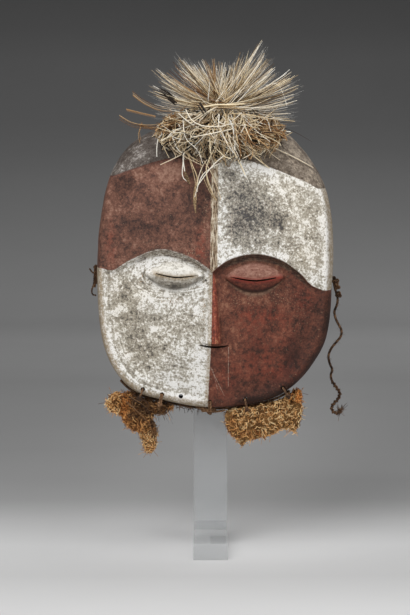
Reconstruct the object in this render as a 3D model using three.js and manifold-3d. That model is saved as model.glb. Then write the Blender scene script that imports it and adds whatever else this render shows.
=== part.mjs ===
// Carved and painted wooden face mask with a straw tuft and two fibre beards, on a clear post
// and foot. Millimetres, +Z up. The face looks to -Y. The post's axis is the Z axis, and the
// origin is where it meets the foot's underside.
import * as THREE from "three";
import { mergeVertices } from "three/addons/utils/BufferGeometryUtils.js";
import Module from "manifold-3d";

const wasm = await Module();
wasm.setup();

// Mask, seen from the front as X and Z: the silhouette, clockwise from the upper left corner
const silhouettePoints = [
  [-115.4, 444.2], [-95.5, 474.5], [-70.9, 490.8], [-41.6, 497.8], [5.3, 500.2], [46.4, 497.8],
  [86.3, 490.8], [106.2, 473.4], [131.2, 434], [141.6, 388.5], [141.8, 319], [133.4, 250],
  [113.4, 215.5], [82, 187.5], [45, 177], [-3, 173.2], [-52.9, 181], [-89, 192.5],
  [-111.1, 215.5], [-125.2, 250], [-131.9, 319], [-128, 388.5],
];
const upperLeft = 0;
const crownTop = 4;
const upperRight = 8;
const lowerRight = 12;
const chinMiddle = 15;
const lowerLeft = 18;
const arrisPoints = [[-80.3, 450.5], [-46.2, 459.5], [3, 464], [50, 456.5], [101.7, 437]];
const browLeftPoints = [[-111, 334], [-92, 345.5], [-57.6, 358], [-23.5, 349.5], [2, 333.5]];
const browRightPoints = [[2, 333.5], [22, 347], [50, 353], [79, 346.5], [101.8, 330.7], [115, 317]];
const browLeftEnd = 0.47;
const browRightEnd = 0.562;
const noseAxisPoints = [[2, 333.5], [0.6, 250], [-3, 182]];
const keelAxisPoints = [[3, 464], [2, 333.5]];
const maskMiddle = new THREE.Vector2(4, 330);

// Mask, front to back
const borderDepth = -56;
const faceBulge = 18;
const faceHalfWidth = 126;
const faceHalfHeight = 145;
const silhouetteDepth = { atChin: -45, rise: 0.165, chinHeight: 174 };
const wallBehind = { atChin: 9, rise: 0.19 };
const backTaper = 0.97;
const bandWidth = { middle: 9, lean: 3 / 140 };
const crownLedge = 3;
const woodThickness = 11;
const innerScale = 0.92;

// Mask, carving in relief
const browStep = { depth: 7.5, fadeDown: 1.4, fadeAcross: 5 };
const keel = { width: 5.5, height: 2.6, lossAtBrow: 0.4 };
const nose = {
  top: 333.5, bottom: 251, topWidth: 3.5, baseWidth: 11.5, topHeight: 2.5, height: 12.5,
  axisShift: 1.5, flankSteepness: 1.6, swell: 1.2, underside: 0.5,
};
const lid = { height: 7, fullness: 0.8, fade: 0.25 };
const eyes = [
  { x: -40.7, z: 328.5, half: 34, rise: 15.5, slit: [[-67, 332], [-41, 326.6], [-15.5, 328.8]] },
  { x: 50.7, z: 326, half: 35.5, rise: 17, slit: [[22, 327.2], [51.5, 322.6], [83, 327.6]] },
];
const mouth = [[-13.3, 248], [5.1, 245.6], [21.1, 247.6]];
const slit = { width: 2.4, depth: 3.6, steps: 8, recess: 0.75, mouthRecess: 1 };

// Mesh steps of the mask
const halfColumns = 18;
const foreheadRows = 4;
const noseRows = 12;
const chinRows = 5;
const undersideStep = 0.03;
const columnCrowding = 1.35;
const rowCrowding = 1.12;
const turnRings = 4;
const firstTurn = { onSides: 0.2, onTop: 0.04 };
const topSharpness = 6;
const innerWall = { share: 0.3, back: 0.45 };
const innerTurn = { angle: Math.PI / 4, back: 0.9 };

// Cords, ties and lashings
const threadDiameter = 2.2;
const holeDiameter = 5.4;
const lashingHoles = [-81, -58, 0, 42, 88];
const emptyHole = [-34.2, 187.5];
const holeAboveRim = 7.5;
const lashing = { diameter: 2.8, beyondFace: 6.4, behindRim: 3.6, drop: 6, lift: 0.1 };
const rimCordDiameter = 3.2;
const rimCordSpan = [-103, 98];
const hangingCordDiameter = 3.2;
const rimCordStep = 6.7;
const rimCordBelow = 2.3;
const rimCordBehind = 4;
const cordSides = 8;
const threadSides = 5;
const gap = 0.35;

// Ties through the side walls, with the loose ends that show beside the mask
const sideTies = [
  {
    name: "side_tie_right", z: 318, holeY: 5.5, wallX: 133.2, loopY: 11.6, loopHalfWidth: 8.5,
    loopHalfDepth: 6.2, knot: [145.2, 11, 317], knotRadii: [4.2, 3.4, 4.2], bights: [],
  },
  {
    name: "side_tie_left", z: 331, holeY: 6, wallX: -123.4, loopY: 14.1, loopHalfWidth: 8.5,
    loopHalfDepth: 8.2, knot: [-135, 12, 331], knotRadii: [3.4, 2.8, 3.4],
    bights: [
      [[-136, 12, 330], [-138.3, 11, 320], [-139.4, 8, 309], [-138.6, 5, 300.5], [-134.6, 3, 297]],
      [[-135, 12, 331], [-140, 11, 331.6], [-143.2, 10.5, 330.4]],
    ],
  },
];
const hangingCordRoute = [
  [146.6, 10.8, 312.4], [147.6, 10.4, 307], [149.6, 9.8, 300], [151, 9.2, 293.5], [149.8, 8.8, 286],
  [147.2, 8.2, 279], [148.6, 7.6, 271], [152.2, 7.2, 263.5], [155.6, 7.4, 256.5], [155, 8, 249.5],
  [149.8, 8.6, 242.5], [144, 8.8, 235], [140.6, 8.6, 226], [142, 8, 217], [145, 7.6, 209.5],
  [143.4, 7.4, 202.5], [145.4, 7.6, 195], [149.8, 8, 188.4], [154.2, 8.2, 181.4], [152.6, 8, 174.5],
  [147.6, 7.6, 169], [144.6, 7.4, 163.6], [147, 7.2, 158.4], [152, 7, 157], [156, 7, 160.6],
];

// Tuft on the crown: its mass and the fan above it (centre and radii), and the fan's quills, each
// with its angle from +X in degrees, its reach from the focus and how far its tip leans backward
const tuft = {
  mass: [[11, -41, 491], [69, 33, 28]],
  fan: [[13, -50, 524], [60, 25, 40]],
  focus: [13, -60, 520],
  quills: [
    [-10, 88, 4], [3, 84, 12], [15, 90, 0], [26, 88, 10], [38, 72, 2], [50, 80, 12], [58, 86, 4],
    [70, 62, 10], [86, 49, 0], [101, 53, 12], [116, 56, 2], [131, 74, 8], [142, 68, 14],
    [152, 90, 2], [166, 84, 10], [178, 80, 4], [187, 117, 22],
    [10, 66, 66], [38, 62, 74], [70, 54, 78], [106, 50, 78], [136, 60, 74], [170, 66, 68],
  ],
  quillRadius: 9, tipRadius: 1.6, quillSides: 4,
  stalks: [
    [[-20, -66, 484], [-19, -79, 454], [-16, -82, 402]],
    [[-6, -66, 484], [-8, -79, 456], [4, -82, 415]],
    [[20, -66, 484], [31, -79, 462], [43, -81, 436]],
    [[-32, -62, 484], [-35, -78, 462], [-28, -81, 434]],
  ],
  stalkDiameter: 3,
};

// Beards below the rim: the outline of each in X and Z, how deep it is, and how far its rounded
// edge goes in from the outline and from the front and back
const beards = [
  {
    name: "beard_left", y: -39, halfDepth: 11, edge: { inward: 2, deep: 6 },
    outline: [
      [-121, 177], [-118, 184], [-111, 188], [-104, 187], [-96, 189], [-89, 187], [-81, 182],
      [-70, 179], [-59, 176], [-50, 174], [-43, 173], [-48, 169], [-57, 166], [-66, 165],
      [-69, 160], [-67, 152], [-64, 144], [-64, 134], [-64, 126], [-70, 119], [-77, 122],
      [-79, 132], [-83, 143], [-93, 148], [-101, 156], [-104, 164], [-114, 166], [-119, 170],
    ],
  },
  {
    name: "beard_right", y: -39, halfDepth: 12, edge: { inward: 3, deep: 7 },
    outline: [
      [18, 167], [26, 170], [41, 172], [57, 174], [72, 177], [86, 182], [95, 188], [102, 193],
      [105, 189], [106, 176], [105, 163], [103, 152], [98, 143], [92, 148], [82, 147], [75, 143],
      [67, 138], [54, 136], [43, 135], [36, 129], [29, 137], [22, 143], [18, 156],
    ],
  },
];
const edgeSteps = 2;

const lumpUnevenness = { tuft: 0.06, knot: 0.1 };

// Clear stand
const postTop = 491;
const standWidth = 40;
const postThickness = 20;
const footFront = -80;
const footBack = 40;
const footHeight = 19;

const colours = {
  wood: 0x7a3328, straw: 0xc9b48c, coir: 0x8a5a34, cord: 0x4a3328, acrylic: 0xb9bfc4,
};

// Geometry helpers
const material = (color, roughness, extra = {}) =>
  new THREE.MeshStandardMaterial({ color, roughness, metalness: 0, ...extra });

function solidOf(geometry) {
  const bare = geometry.clone();
  bare.deleteAttribute("normal");
  bare.deleteAttribute("uv");
  const merged = mergeVertices(bare, 1e-3);
  return new wasm.Manifold(
    new wasm.Mesh({
      numProp: 3,
      vertProperties: merged.attributes.position.array,
      triVerts: new Uint32Array(merged.index.array),
    }),
  );
}

function geometryOf(solid) {
  const mesh = solid.getMesh();
  const geometry = new THREE.BufferGeometry();
  geometry.setAttribute("position", new THREE.BufferAttribute(mesh.vertProperties, 3));
  geometry.setIndex(new THREE.BufferAttribute(mesh.triVerts, 1));
  return geometry;
}

const joined = (solids) => solids.reduce((whole, piece) => whole.add(piece));

// A point at a share of a flat curve's length, between two of the curve's own parameters
function alongCurve(curve, from, to) {
  const steps = 60;
  const points = [];
  const lengths = [0];
  for (let step = 0; step <= steps; step += 1) {
    points.push(curve.getPoint(from + ((to - from) * step) / steps));
    if (step > 0) lengths.push(lengths[step - 1] + points[step].distanceTo(points[step - 1]));
  }
  return (share) => {
    const target = share * lengths[steps];
    let step = 1;
    while (step < steps && lengths[step] < target) step += 1;
    const part = (target - lengths[step - 1]) / (lengths[step] - lengths[step - 1]);
    return points[step - 1].clone().lerp(points[step], part);
  };
}

const flatPoint = ([x, z]) => new THREE.Vector2(x, z);
const splineThrough = (points) => alongCurve(new THREE.SplineCurve(points), 0, 1);

function silhouetteSections() {
  const count = silhouettePoints.length;
  const closed = new THREE.CatmullRomCurve3(
    silhouettePoints.map(([x, z]) => new THREE.Vector3(x, z, 0)), true, "centripetal");
  const flat = {
    getPoint: (t) => {
      const point = closed.getPoint(((t % 1) + 1) % 1);
      return new THREE.Vector2(point.x, point.y);
    },
  };
  const section = (from, to) => alongCurve(flat, from / count, to / count);
  return {
    crownLeft: section(crownTop, upperLeft),
    crownRight: section(crownTop, upperRight),
    chinLeft: section(chinMiddle, lowerLeft),
    chinRight: section(chinMiddle, lowerRight),
    left: section(count, lowerLeft),
    right: section(upperRight, lowerRight),
  };
}
const silhouette = silhouetteSections();

// The face's border lies inside the silhouette by the width of the band round it
function borderOf(point) {
  const out = point.clone().sub(maskMiddle);
  const band = bandWidth.middle + bandWidth.lean * point.x;
  return maskMiddle.clone().add(out.multiplyScalar(1 - band / out.length()));
}
const border = Object.fromEntries(
  Object.entries(silhouette).map(([name, curve]) => [name, (share) => borderOf(curve(share))]));

// Shares of a half's width and of the lower face's height where the columns and rows stand
const columnShares = Array.from({ length: halfColumns + 1 }, (_, k) => (k / halfColumns) ** columnCrowding);
const foreheadShares = Array.from({ length: foreheadRows + 1 }, (_, k) => k / foreheadRows);
const noseShare = (nose.top - nose.bottom) / (nose.top - noseAxisPoints[2][1]);
const undersideShare = noseShare + undersideStep;
const lowerShares = [
  ...Array.from({ length: noseRows }, (_, k) => noseShare * (k / noseRows) ** rowCrowding),
  noseShare,
  ...Array.from({ length: chinRows + 1 }, (_, k) =>
    undersideShare + ((1 - undersideShare) * k) / chinRows),
];

// A patch between four curves that share their corners, as a Coons surface
function patch(top, bottom, inner, outer) {
  const corners = [top(0), top(1), bottom(0), bottom(1)];
  return (across, down) => {
    const rails = top(across).multiplyScalar(1 - down).add(bottom(across).multiplyScalar(down));
    const ribs = inner(down).multiplyScalar(1 - across).add(outer(down).multiplyScalar(across));
    const flat = new THREE.Vector2()
      .addScaledVector(corners[0], (1 - across) * (1 - down))
      .addScaledVector(corners[1], across * (1 - down))
      .addScaledVector(corners[2], (1 - across) * down)
      .addScaledVector(corners[3], across * down);
    return rails.add(ribs).sub(flat);
  };
}

const part = (curve, from, to) => (share) => curve(from + (to - from) * share);

// One half of the face: its forehead patch over its lower patch
function faceHalf(side, crown, chin, arrisHalf, browHalf, browEnd) {
  const end = border[side](browEnd);
  const brow = splineThrough([...browHalf, end]);
  const arris = splineThrough([...arrisHalf, border[side](0)]);
  const keelLine = splineThrough(keelAxisPoints.map(flatPoint));
  const noseLine = splineThrough([...noseAxisPoints.slice(0, 2).map(flatPoint), border[chin](0)]);
  return {
    forehead: patch(arris, brow, keelLine, part(border[side], 0, browEnd)),
    lower: patch(brow, border[chin], noseLine, part(border[side], browEnd, 1)),
    crown: silhouette[crown],
    side: silhouette[side],
    chin: silhouette[chin],
    browEnd,
  };
}

const arrisTop = arrisPoints.map(flatPoint);
const leftHalf = faceHalf("left", "crownLeft", "chinLeft", arrisTop.slice(0, 3).reverse(),
  browLeftPoints.map(flatPoint).reverse(), browLeftEnd);
const rightHalf = faceHalf("right", "crownRight", "chinRight", arrisTop.slice(2),
  browRightPoints.map(flatPoint), browRightEnd);

// Depths
function faceDepth(x, z) {
  const out = ((x - maskMiddle.x) / faceHalfWidth) ** 2 + ((z - maskMiddle.y) / faceHalfHeight) ** 2;
  return borderDepth - faceBulge * Math.max(0, 1 - out);
}
const silhouetteAt = (z) =>
  silhouetteDepth.atChin + silhouetteDepth.rise * (z - silhouetteDepth.chinHeight);
const rimAt = (z) =>
  silhouetteAt(z) + wallBehind.atChin + wallBehind.rise * (z - silhouetteDepth.chinHeight);

function noseHeight(x, z, axisX) {
  if (z < nose.bottom - nose.underside || z > nose.top) return 0;
  const down = (nose.top - z) / (nose.top - nose.bottom);
  const half = nose.topWidth + (nose.baseWidth - nose.topWidth) * down;
  const away = Math.abs(x - axisX) / half;
  const flank = Math.min(1, Math.max(0, nose.flankSteepness * (1 - away)));
  return flank * (nose.topHeight + (nose.height - nose.topHeight) * down ** nose.swell);
}

function lidRise(x, z) {
  const rises = eyes.map((eye) => {
    const across = (x - eye.x) / eye.half;
    const lens = eye.rise * (1 - across * across);
    const inside = 1 - Math.abs(z - eye.z) / Math.max(lens, 1e-6);
    return lens > 0 && inside > 0 ? lid.height * Math.sin((Math.PI / 2) * inside) ** lid.fullness : 0;
  });
  return Math.max(...rises);
}

function keelHeight(x, axisX, down) {
  const height = keel.height * (1 - keel.lossAtBrow * down);
  return height * Math.max(0, 1 - Math.abs(x - axisX) / keel.width);
}

// The outer face's point at a column and row. Columns run from the left border to the right one
const rowCount = foreheadRows + lowerShares.length - 1;
const columnCount = 2 * halfColumns;

function facePoint(column, row, carved) {
  const onLeft = column < halfColumns;
  const half = onLeft ? leftHalf : rightHalf;
  const across = columnShares[Math.abs(column - halfColumns)];
  const onForehead = row <= foreheadRows;
  const down = onForehead ? foreheadShares[row] : lowerShares[row - foreheadRows];
  const surface = onForehead ? half.forehead : half.lower;
  const flat = surface(across, down);
  const axis = surface(0, down);
  let depth = faceDepth(flat.x, flat.y);
  if (carved && onForehead) depth -= keelHeight(flat.x, axis.x, down);
  if (carved && !onForehead) {
    const fade = (1 - down) ** browStep.fadeDown * (1 - across ** browStep.fadeAcross);
    depth += browStep.depth * fade * Math.min(1, down / lowerShares[1]);
    depth -= Math.max(
      noseHeight(flat.x, flat.y, axis.x + nose.axisShift), lidRise(flat.x, flat.y) * fade ** lid.fade);
  }
  return new THREE.Vector3(flat.x, depth, flat.y);
}

// The border's walk: along the top, down the right side, back along the chin and up the left
function borderWalk(step) {
  const walk = [];
  const rowShare = (half, row) => row <= foreheadRows
    ? half.browEnd * foreheadShares[row]
    : half.browEnd + (1 - half.browEnd) * lowerShares[row - foreheadRows];
  const edge = (column, row, place, onTop) => walk.push({ column, row, place, onTop });
  const acrossOf = (column) => columnShares[Math.abs(column - halfColumns)];
  const halfOf = (column) => (column < halfColumns ? leftHalf : rightHalf);
  for (let column = 0; column < columnCount; column += step)
    edge(column, 0, halfOf(column).crown(acrossOf(column)), 1 - acrossOf(column) ** topSharpness);
  for (let row = 0; row < rowCount; row += step)
    edge(columnCount, row, rightHalf.side(rowShare(rightHalf, row)), 0);
  for (let column = columnCount; column > 0; column -= step)
    edge(column, rowCount, halfOf(column).chin(acrossOf(column)), 0);
  for (let row = rowCount; row > 0; row -= step)
    edge(0, row, leftHalf.side(rowShare(leftHalf, row)), 0);
  return walk;
}

// Ring points behind the face's border: the rounded turn to the silhouette, then the wall
function bandPoint(edge, from, turn) {
  const ledge = crownLedge * edge.onTop;
  const depth = from.y + ledge;
  const back = silhouetteAt(edge.place.y);
  return new THREE.Vector3(
    from.x + (edge.place.x - from.x) * Math.sin(turn),
    depth + (back - depth) * (1 - Math.cos(turn)),
    from.z + (edge.place.y - from.z) * Math.sin(turn),
  );
}

function wallPoint(edge, share) {
  const scale = 1 + (backTaper - 1) * share * share;
  const flat = edge.place.clone().sub(maskMiddle).multiplyScalar(scale).add(maskMiddle);
  const front = silhouetteAt(edge.place.y);
  return new THREE.Vector3(flat.x, front + (rimAt(edge.place.y) - front) * share, flat.y);
}

function drawnIn(point, back) {
  return new THREE.Vector3(
    maskMiddle.x + (point.x - maskMiddle.x) * innerScale,
    point.y + back,
    maskMiddle.y + (point.z - maskMiddle.y) * innerScale,
  );
}

function outerRings() {
  const walk = borderWalk(1);
  const faces = walk.map((edge) => facePoint(edge.column, edge.row, false));
  const { onSides, onTop } = firstTurn;
  const rings = [faces.map((point, k) =>
    bandPoint(walk[k], point, onSides + (onTop - onSides) * walk[k].onTop))];
  for (let ring = 1; ring <= turnRings; ring += 1)
    rings.push(faces.map((point, k) => bandPoint(walk[k], point, (Math.PI / 2) * (ring / turnRings))));
  return [...rings, walk.map((edge) => wallPoint(edge, 1))];
}

function innerRings() {
  const walk = borderWalk(2);
  const faces = walk.map((edge) => facePoint(edge.column, edge.row, false));
  return [
    walk.map((edge) => drawnIn(wallPoint(edge, 1), 0)),
    walk.map((edge) => drawnIn(wallPoint(edge, innerWall.share), innerWall.back * woodThickness)),
    faces.map((point, k) =>
      drawnIn(bandPoint(walk[k], point, innerTurn.angle), innerTurn.back * woodThickness)),
  ];
}

function maskShell() {
  const positions = [];
  const index = [];
  const vertex = (point) => positions.push(point.x, point.y, point.z) / 3 - 1;
  const grid = (step, place) => {
    const rows = [];
    for (let row = 0; row <= rowCount; row += step) {
      const line = [];
      for (let column = 0; column <= columnCount; column += step) line.push(vertex(place(column, row)));
      rows.push(line);
    }
    return rows;
  };
  const loopOf = (rows, step) => borderWalk(step).map((edge) => rows[edge.row / step][edge.column / step]);
  const cover = (rows, inward) => {
    for (let r = 1; r < rows.length; r += 1)
      for (let c = 1; c < rows[0].length; c += 1) {
        const [a, b, d, e] = [rows[r - 1][c - 1], rows[r - 1][c], rows[r][c - 1], rows[r][c]];
        index.push(...(inward ? [a, b, e, a, e, d] : [a, d, e, a, e, b]));
      }
  };
  const strip = (near, far) => near.forEach((a, k) => {
    const next = (k + 1) % near.length;
    index.push(a, near[next], far[next], a, far[next], far[k]);
  });
  const halve = (near, far) => far.forEach((f, k) => {
    const [a, b, c] = [near[2 * k], near[2 * k + 1], near[(2 * k + 2) % near.length]];
    const next = far[(k + 1) % far.length];
    index.push(a, b, f, b, c, next, b, next, f);
  });

  const face = grid(1, (column, row) => facePoint(column, row, true));
  cover(face, false);
  let last = loopOf(face, 1);
  for (const ring of outerRings()) {
    const next = ring.map(vertex);
    strip(last, next);
    last = next;
  }
  const rings = innerRings().map((ring) => ring.map(vertex));
  halve(last, rings[0]);
  for (let ring = 1; ring < rings.length; ring += 1) strip(rings[ring - 1], rings[ring]);
  const back = grid(2, (column, row) => drawnIn(facePoint(column, row, false), woodThickness));
  strip(rings[rings.length - 1], loopOf(back, 2));
  cover(back, true);

  const geometry = new THREE.BufferGeometry();
  geometry.setAttribute("position", new THREE.Float32BufferAttribute(positions, 3));
  geometry.setIndex(index);
  return solidOf(geometry);
}

// A crescent slit through three points, cut to a depth below the carved face's surface
function slitCutter(points, surface) {
  const middle = new THREE.SplineCurve(points.map(flatPoint)).getPoints(slit.steps);
  const half = (k) => (slit.width / 2) * Math.sin((Math.PI * k) / slit.steps);
  const upper = middle.map((p, k) => new THREE.Vector2(p.x, p.y + half(k)));
  const lower = middle.map((p, k) => new THREE.Vector2(p.x, p.y - half(k))).slice(1, -1);
  const shape = new THREE.Shape([...upper, ...lower.reverse()]);
  const geometry = new THREE.ExtrudeGeometry(shape, { depth: 30, bevelEnabled: false });
  geometry.rotateX(Math.PI / 2);
  geometry.translate(0, surface + slit.depth, 0);
  return solidOf(geometry);
}

function holeCutter(x, z) {
  const cutter = new THREE.CylinderGeometry(holeDiameter / 2, holeDiameter / 2, 60, 8);
  return solidOf(cutter.translate(x, -50, z));
}

function sideHoleCutter(tie) {
  const cutter = new THREE.CylinderGeometry(holeDiameter / 2, holeDiameter / 2, 40, 8);
  cutter.rotateZ(Math.PI / 2);
  return solidOf(cutter.translate(tie.wallX, tie.holeY, tie.z));
}

// The lower rim's point at an X, as the silhouette draws it, and the way in from it
function rimPlace(x) {
  const middleX = silhouettePoints[chinMiddle][0];
  const section = x < middleX ? silhouette.chinLeft : silhouette.chinRight;
  let low = 0;
  let high = 1;
  for (let round = 0; round < 30; round += 1) {
    const middle = (low + high) / 2;
    if (Math.abs(section(middle).x - middleX) < Math.abs(x - middleX)) low = middle;
    else high = middle;
  }
  const along = section(Math.min(1, low + 0.02)).sub(section(Math.max(0, low - 0.02))).normalize();
  const inward = new THREE.Vector2(-along.y, along.x);
  if (inward.y < 0) inward.negate();
  return { point: section(low), inward };
}

function maskSolid() {
  let solid = maskShell();
  const lidAt = (eye) => faceDepth(eye.x, eye.z) + slit.recess * browStep.depth - lid.height;
  for (const eye of eyes) solid = solid.subtract(slitCutter(eye.slit, lidAt(eye)));
  const lipsAt = faceDepth(mouth[1][0], mouth[1][1]) + slit.mouthRecess;
  solid = solid.subtract(slitCutter(mouth, lipsAt));
  for (const x of lashingHoles) {
    const { point, inward } = rimPlace(x);
    const hole = point.addScaledVector(inward, holeAboveRim);
    solid = solid.subtract(holeCutter(hole.x, hole.y));
  }
  for (const tie of sideTies) solid = solid.subtract(sideHoleCutter(tie));
  return solid.subtract(holeCutter(emptyHole[0], emptyHole[1]));
}

// A closed thread loop round a wall: a ring bent to a rounded box in the plane of two directions
function threadLoop(centre, across, along, halfAcross, halfAlong, diameter = threadDiameter) {
  const ringRadius = 10;
  const ring = new THREE.TorusGeometry(ringRadius, diameter / 2, threadSides, 12);
  const places = ring.attributes.position;
  const out = new THREE.Vector3().crossVectors(across, along).normalize();
  const power = (value) => Math.sign(value) * Math.sqrt(Math.abs(value));
  for (let k = 0; k < places.count; k += 1) {
    const angle = Math.atan2(places.getY(k), places.getX(k));
    const beyond = Math.hypot(places.getX(k), places.getY(k)) - ringRadius;
    const [c, s] = [Math.cos(angle), Math.sin(angle)];
    const point = centre.clone()
      .addScaledVector(across, halfAcross * power(c) + beyond * c)
      .addScaledVector(along, halfAlong * power(s) + beyond * s)
      .addScaledVector(out, places.getZ(k));
    places.setXYZ(k, point.x, point.y, point.z);
  }
  return solidOf(ring);
}

// A rounded lump, uneven where asked, as knots, fibre clumps and the tuft's core are
function lump(centre, radii, [around, down] = [9, 6], unevenness = 0, salt = 0) {
  const ball = new THREE.SphereGeometry(1, around, down);
  const places = ball.attributes.position;
  for (let k = 0; k < places.count; k += 1) {
    const [x, y, z] = [places.getX(k), places.getY(k), places.getZ(k)];
    const swell = 1 + unevenness * Math.sin(5 * x + salt) * Math.cos(4 * z - 3 * y + salt);
    places.setXYZ(k, centre[0] + radii[0] * x * swell, centre[1] + radii[1] * y * swell,
      centre[2] + radii[2] * z * swell);
  }
  return solidOf(ball);
}

function tube(points, diameter, steps, sides = cordSides) {
  const section = new THREE.Shape(Array.from({ length: sides }, (_, k) => {
    const angle = (2 * Math.PI * k) / sides;
    return new THREE.Vector2((diameter / 2) * Math.cos(angle), (diameter / 2) * Math.sin(angle));
  }));
  const path = new THREE.CatmullRomCurve3(points, false, "centripetal");
  return solidOf(new THREE.ExtrudeGeometry(section, { steps, bevelEnabled: false, extrudePath: path }));
}

// A quill that tapers from its root to its tip
function spike(root, tip, rootRadius, tipRadius, sides) {
  const from = new THREE.Vector3(...root);
  const reach = new THREE.Vector3(...tip).sub(from);
  const cone = new THREE.CylinderGeometry(tipRadius, rootRadius, reach.length(), sides);
  cone.translate(0, reach.length() / 2, 0);
  const turn = new THREE.Quaternion()
    .setFromUnitVectors(new THREE.Vector3(0, 1, 0), reach.clone().normalize());
  cone.applyQuaternion(turn);
  return solidOf(cone.translate(from.x, from.y, from.z));
}

const backward = new THREE.Vector3(0, 1, 0);
const vectors = (points) => points.map((point) => new THREE.Vector3(...point));

function lashingSolid(x, diameter) {
  const place = rimPlace(x);
  const inward = new THREE.Vector3(place.inward.x, 0, place.inward.y);
  const middle = (holeAboveRim + lashing.lift - lashing.drop) / 2;
  const front = borderDepth - lashing.beyondFace;
  const back = rimAt(place.point.y) + lashing.behindRim;
  const centre = new THREE.Vector3(
    place.point.x + place.inward.x * middle,
    (front + back) / 2,
    place.point.y + place.inward.y * middle,
  );
  const halfHeight = (holeAboveRim + lashing.lift + lashing.drop) / 2;
  return threadLoop(centre, backward, inward, (back - front) / 2, halfHeight, diameter);
}

function rimCordSolid(diameter) {
  const points = [];
  for (let x = rimCordSpan[0]; x <= rimCordSpan[1]; x += rimCordStep) {
    const { point, inward } = rimPlace(x);
    const below = point.clone().addScaledVector(inward, -rimCordBelow);
    points.push(new THREE.Vector3(below.x, silhouetteAt(point.y) + rimCordBehind, below.y));
  }
  return tube(points, diameter, 30, 6);
}

// The tie on one side: a loop through the wall's hole, its knot outside, and what hangs there
function sideTie(tie) {
  const loop = threadLoop(
    new THREE.Vector3(tie.wallX, tie.loopY, tie.z), new THREE.Vector3(1, 0, 0), backward,
    tie.loopHalfWidth, tie.loopHalfDepth);
  const knot = lump(tie.knot, tie.knotRadii, [6, 4], lumpUnevenness.knot);
  const bights = tie.bights.map((points) => tube(vectors(points), threadDiameter, 6, threadSides));
  return joined([loop, knot, ...bights]);
}

// The tuft: its mass, and a fan whose quills stand out from one point in front of the crown
function tuftSolid() {
  const { mass, fan, focus, quills } = tuft;
  const pieces = [
    lump(...mass, [13, 7], lumpUnevenness.tuft, 1),
    lump(...fan, [12, 7], lumpUnevenness.tuft, 2),
  ];
  for (const [angle, reach, lean] of quills) {
    const turn = THREE.MathUtils.degToRad(angle);
    const tip = [focus[0] + reach * Math.cos(turn), focus[1] + lean, focus[2] + reach * Math.sin(turn)];
    pieces.push(spike(focus, tip, tuft.quillRadius, tuft.tipRadius, tuft.quillSides));
  }
  for (const stalk of tuft.stalks) pieces.push(tube(vectors(stalk), tuft.stalkDiameter, 5, 4));
  return joined(pieces);
}

// A beard: its outline as a slab with rounded edges
function beardSolid({ outline, y, halfDepth, edge }) {
  const shape = new THREE.Shape(outline.map((point) => new THREE.Vector2(...point)));
  const slab = new THREE.ExtrudeGeometry(shape, {
    depth: 2 * (halfDepth - edge.deep), bevelThickness: edge.deep, bevelSize: edge.inward,
    bevelOffset: -edge.inward, bevelSegments: edgeSteps,
  });
  slab.rotateX(Math.PI / 2);
  return solidOf(slab.translate(0, y + halfDepth - edge.deep, 0));
}

// What is left of a solid outside the others: its largest piece, without the slivers cut off
function cutClear(solid, others) {
  const left = others.reduce((rest, other) => rest.subtract(other), solid).decompose();
  return left.reduce((most, piece) => (piece.volume() > most.volume() ? piece : most));
}

function boxSolid(width, front, back, bottom, top) {
  const box = new THREE.BoxGeometry(width, back - front, top - bottom);
  return solidOf(box.translate(0, (front + back) / 2, (bottom + top) / 2));
}

const root = new THREE.Group();
function place(name, solid, look) {
  const mesh = new THREE.Mesh(geometryOf(solid), look);
  mesh.name = name;
  root.add(mesh);
}

const woodLook = material(colours.wood, 0.7);
const strawLook = material(colours.straw, 0.8);
const coirLook = material(colours.coir, 0.95);
const cordLook = material(colours.cord, 0.9);
const acrylicLook = material(colours.acrylic, 0.1, { transparent: true, opacity: 0.35 });

const mask = maskSolid();
place("mask", mask, woodLook);
place("crown_tuft", cutClear(tuftSolid(), [mask.translate([0, -1.5 * gap, 1.5 * gap])]), strawLook);

const lashings = lashingHoles.map((x) => lashingSolid(x, lashing.diameter));
lashings.forEach((solid, k) => place(`lashing_${k + 1}`, solid, cordLook));
place("rim_cord", rimCordSolid(rimCordDiameter), cordLook);

const roomAboveBeards = [
  mask.translate([0, 0, -1.5 * gap]),
  rimCordSolid(rimCordDiameter + 2 * gap),
  ...lashingHoles.map((x) => lashingSolid(x, lashing.diameter + 2 * gap)),
];
for (const beard of beards) place(beard.name, cutClear(beardSolid(beard), roomAboveBeards), coirLook);

for (const tie of sideTies) place(tie.name, sideTie(tie), cordLook);
place("hanging_cord", tube(vectors(hangingCordRoute), hangingCordDiameter, 34), cordLook);

const post = boxSolid(standWidth, -postThickness / 2, postThickness / 2, footHeight + gap, postTop);
place("stand_post", cutClear(post, [mask.translate([0, 0, -gap])]), acrylicLook);
place("stand_foot", boxSolid(standWidth, footFront, footBack, 0, footHeight), acrylicLook);

export default root;
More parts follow.
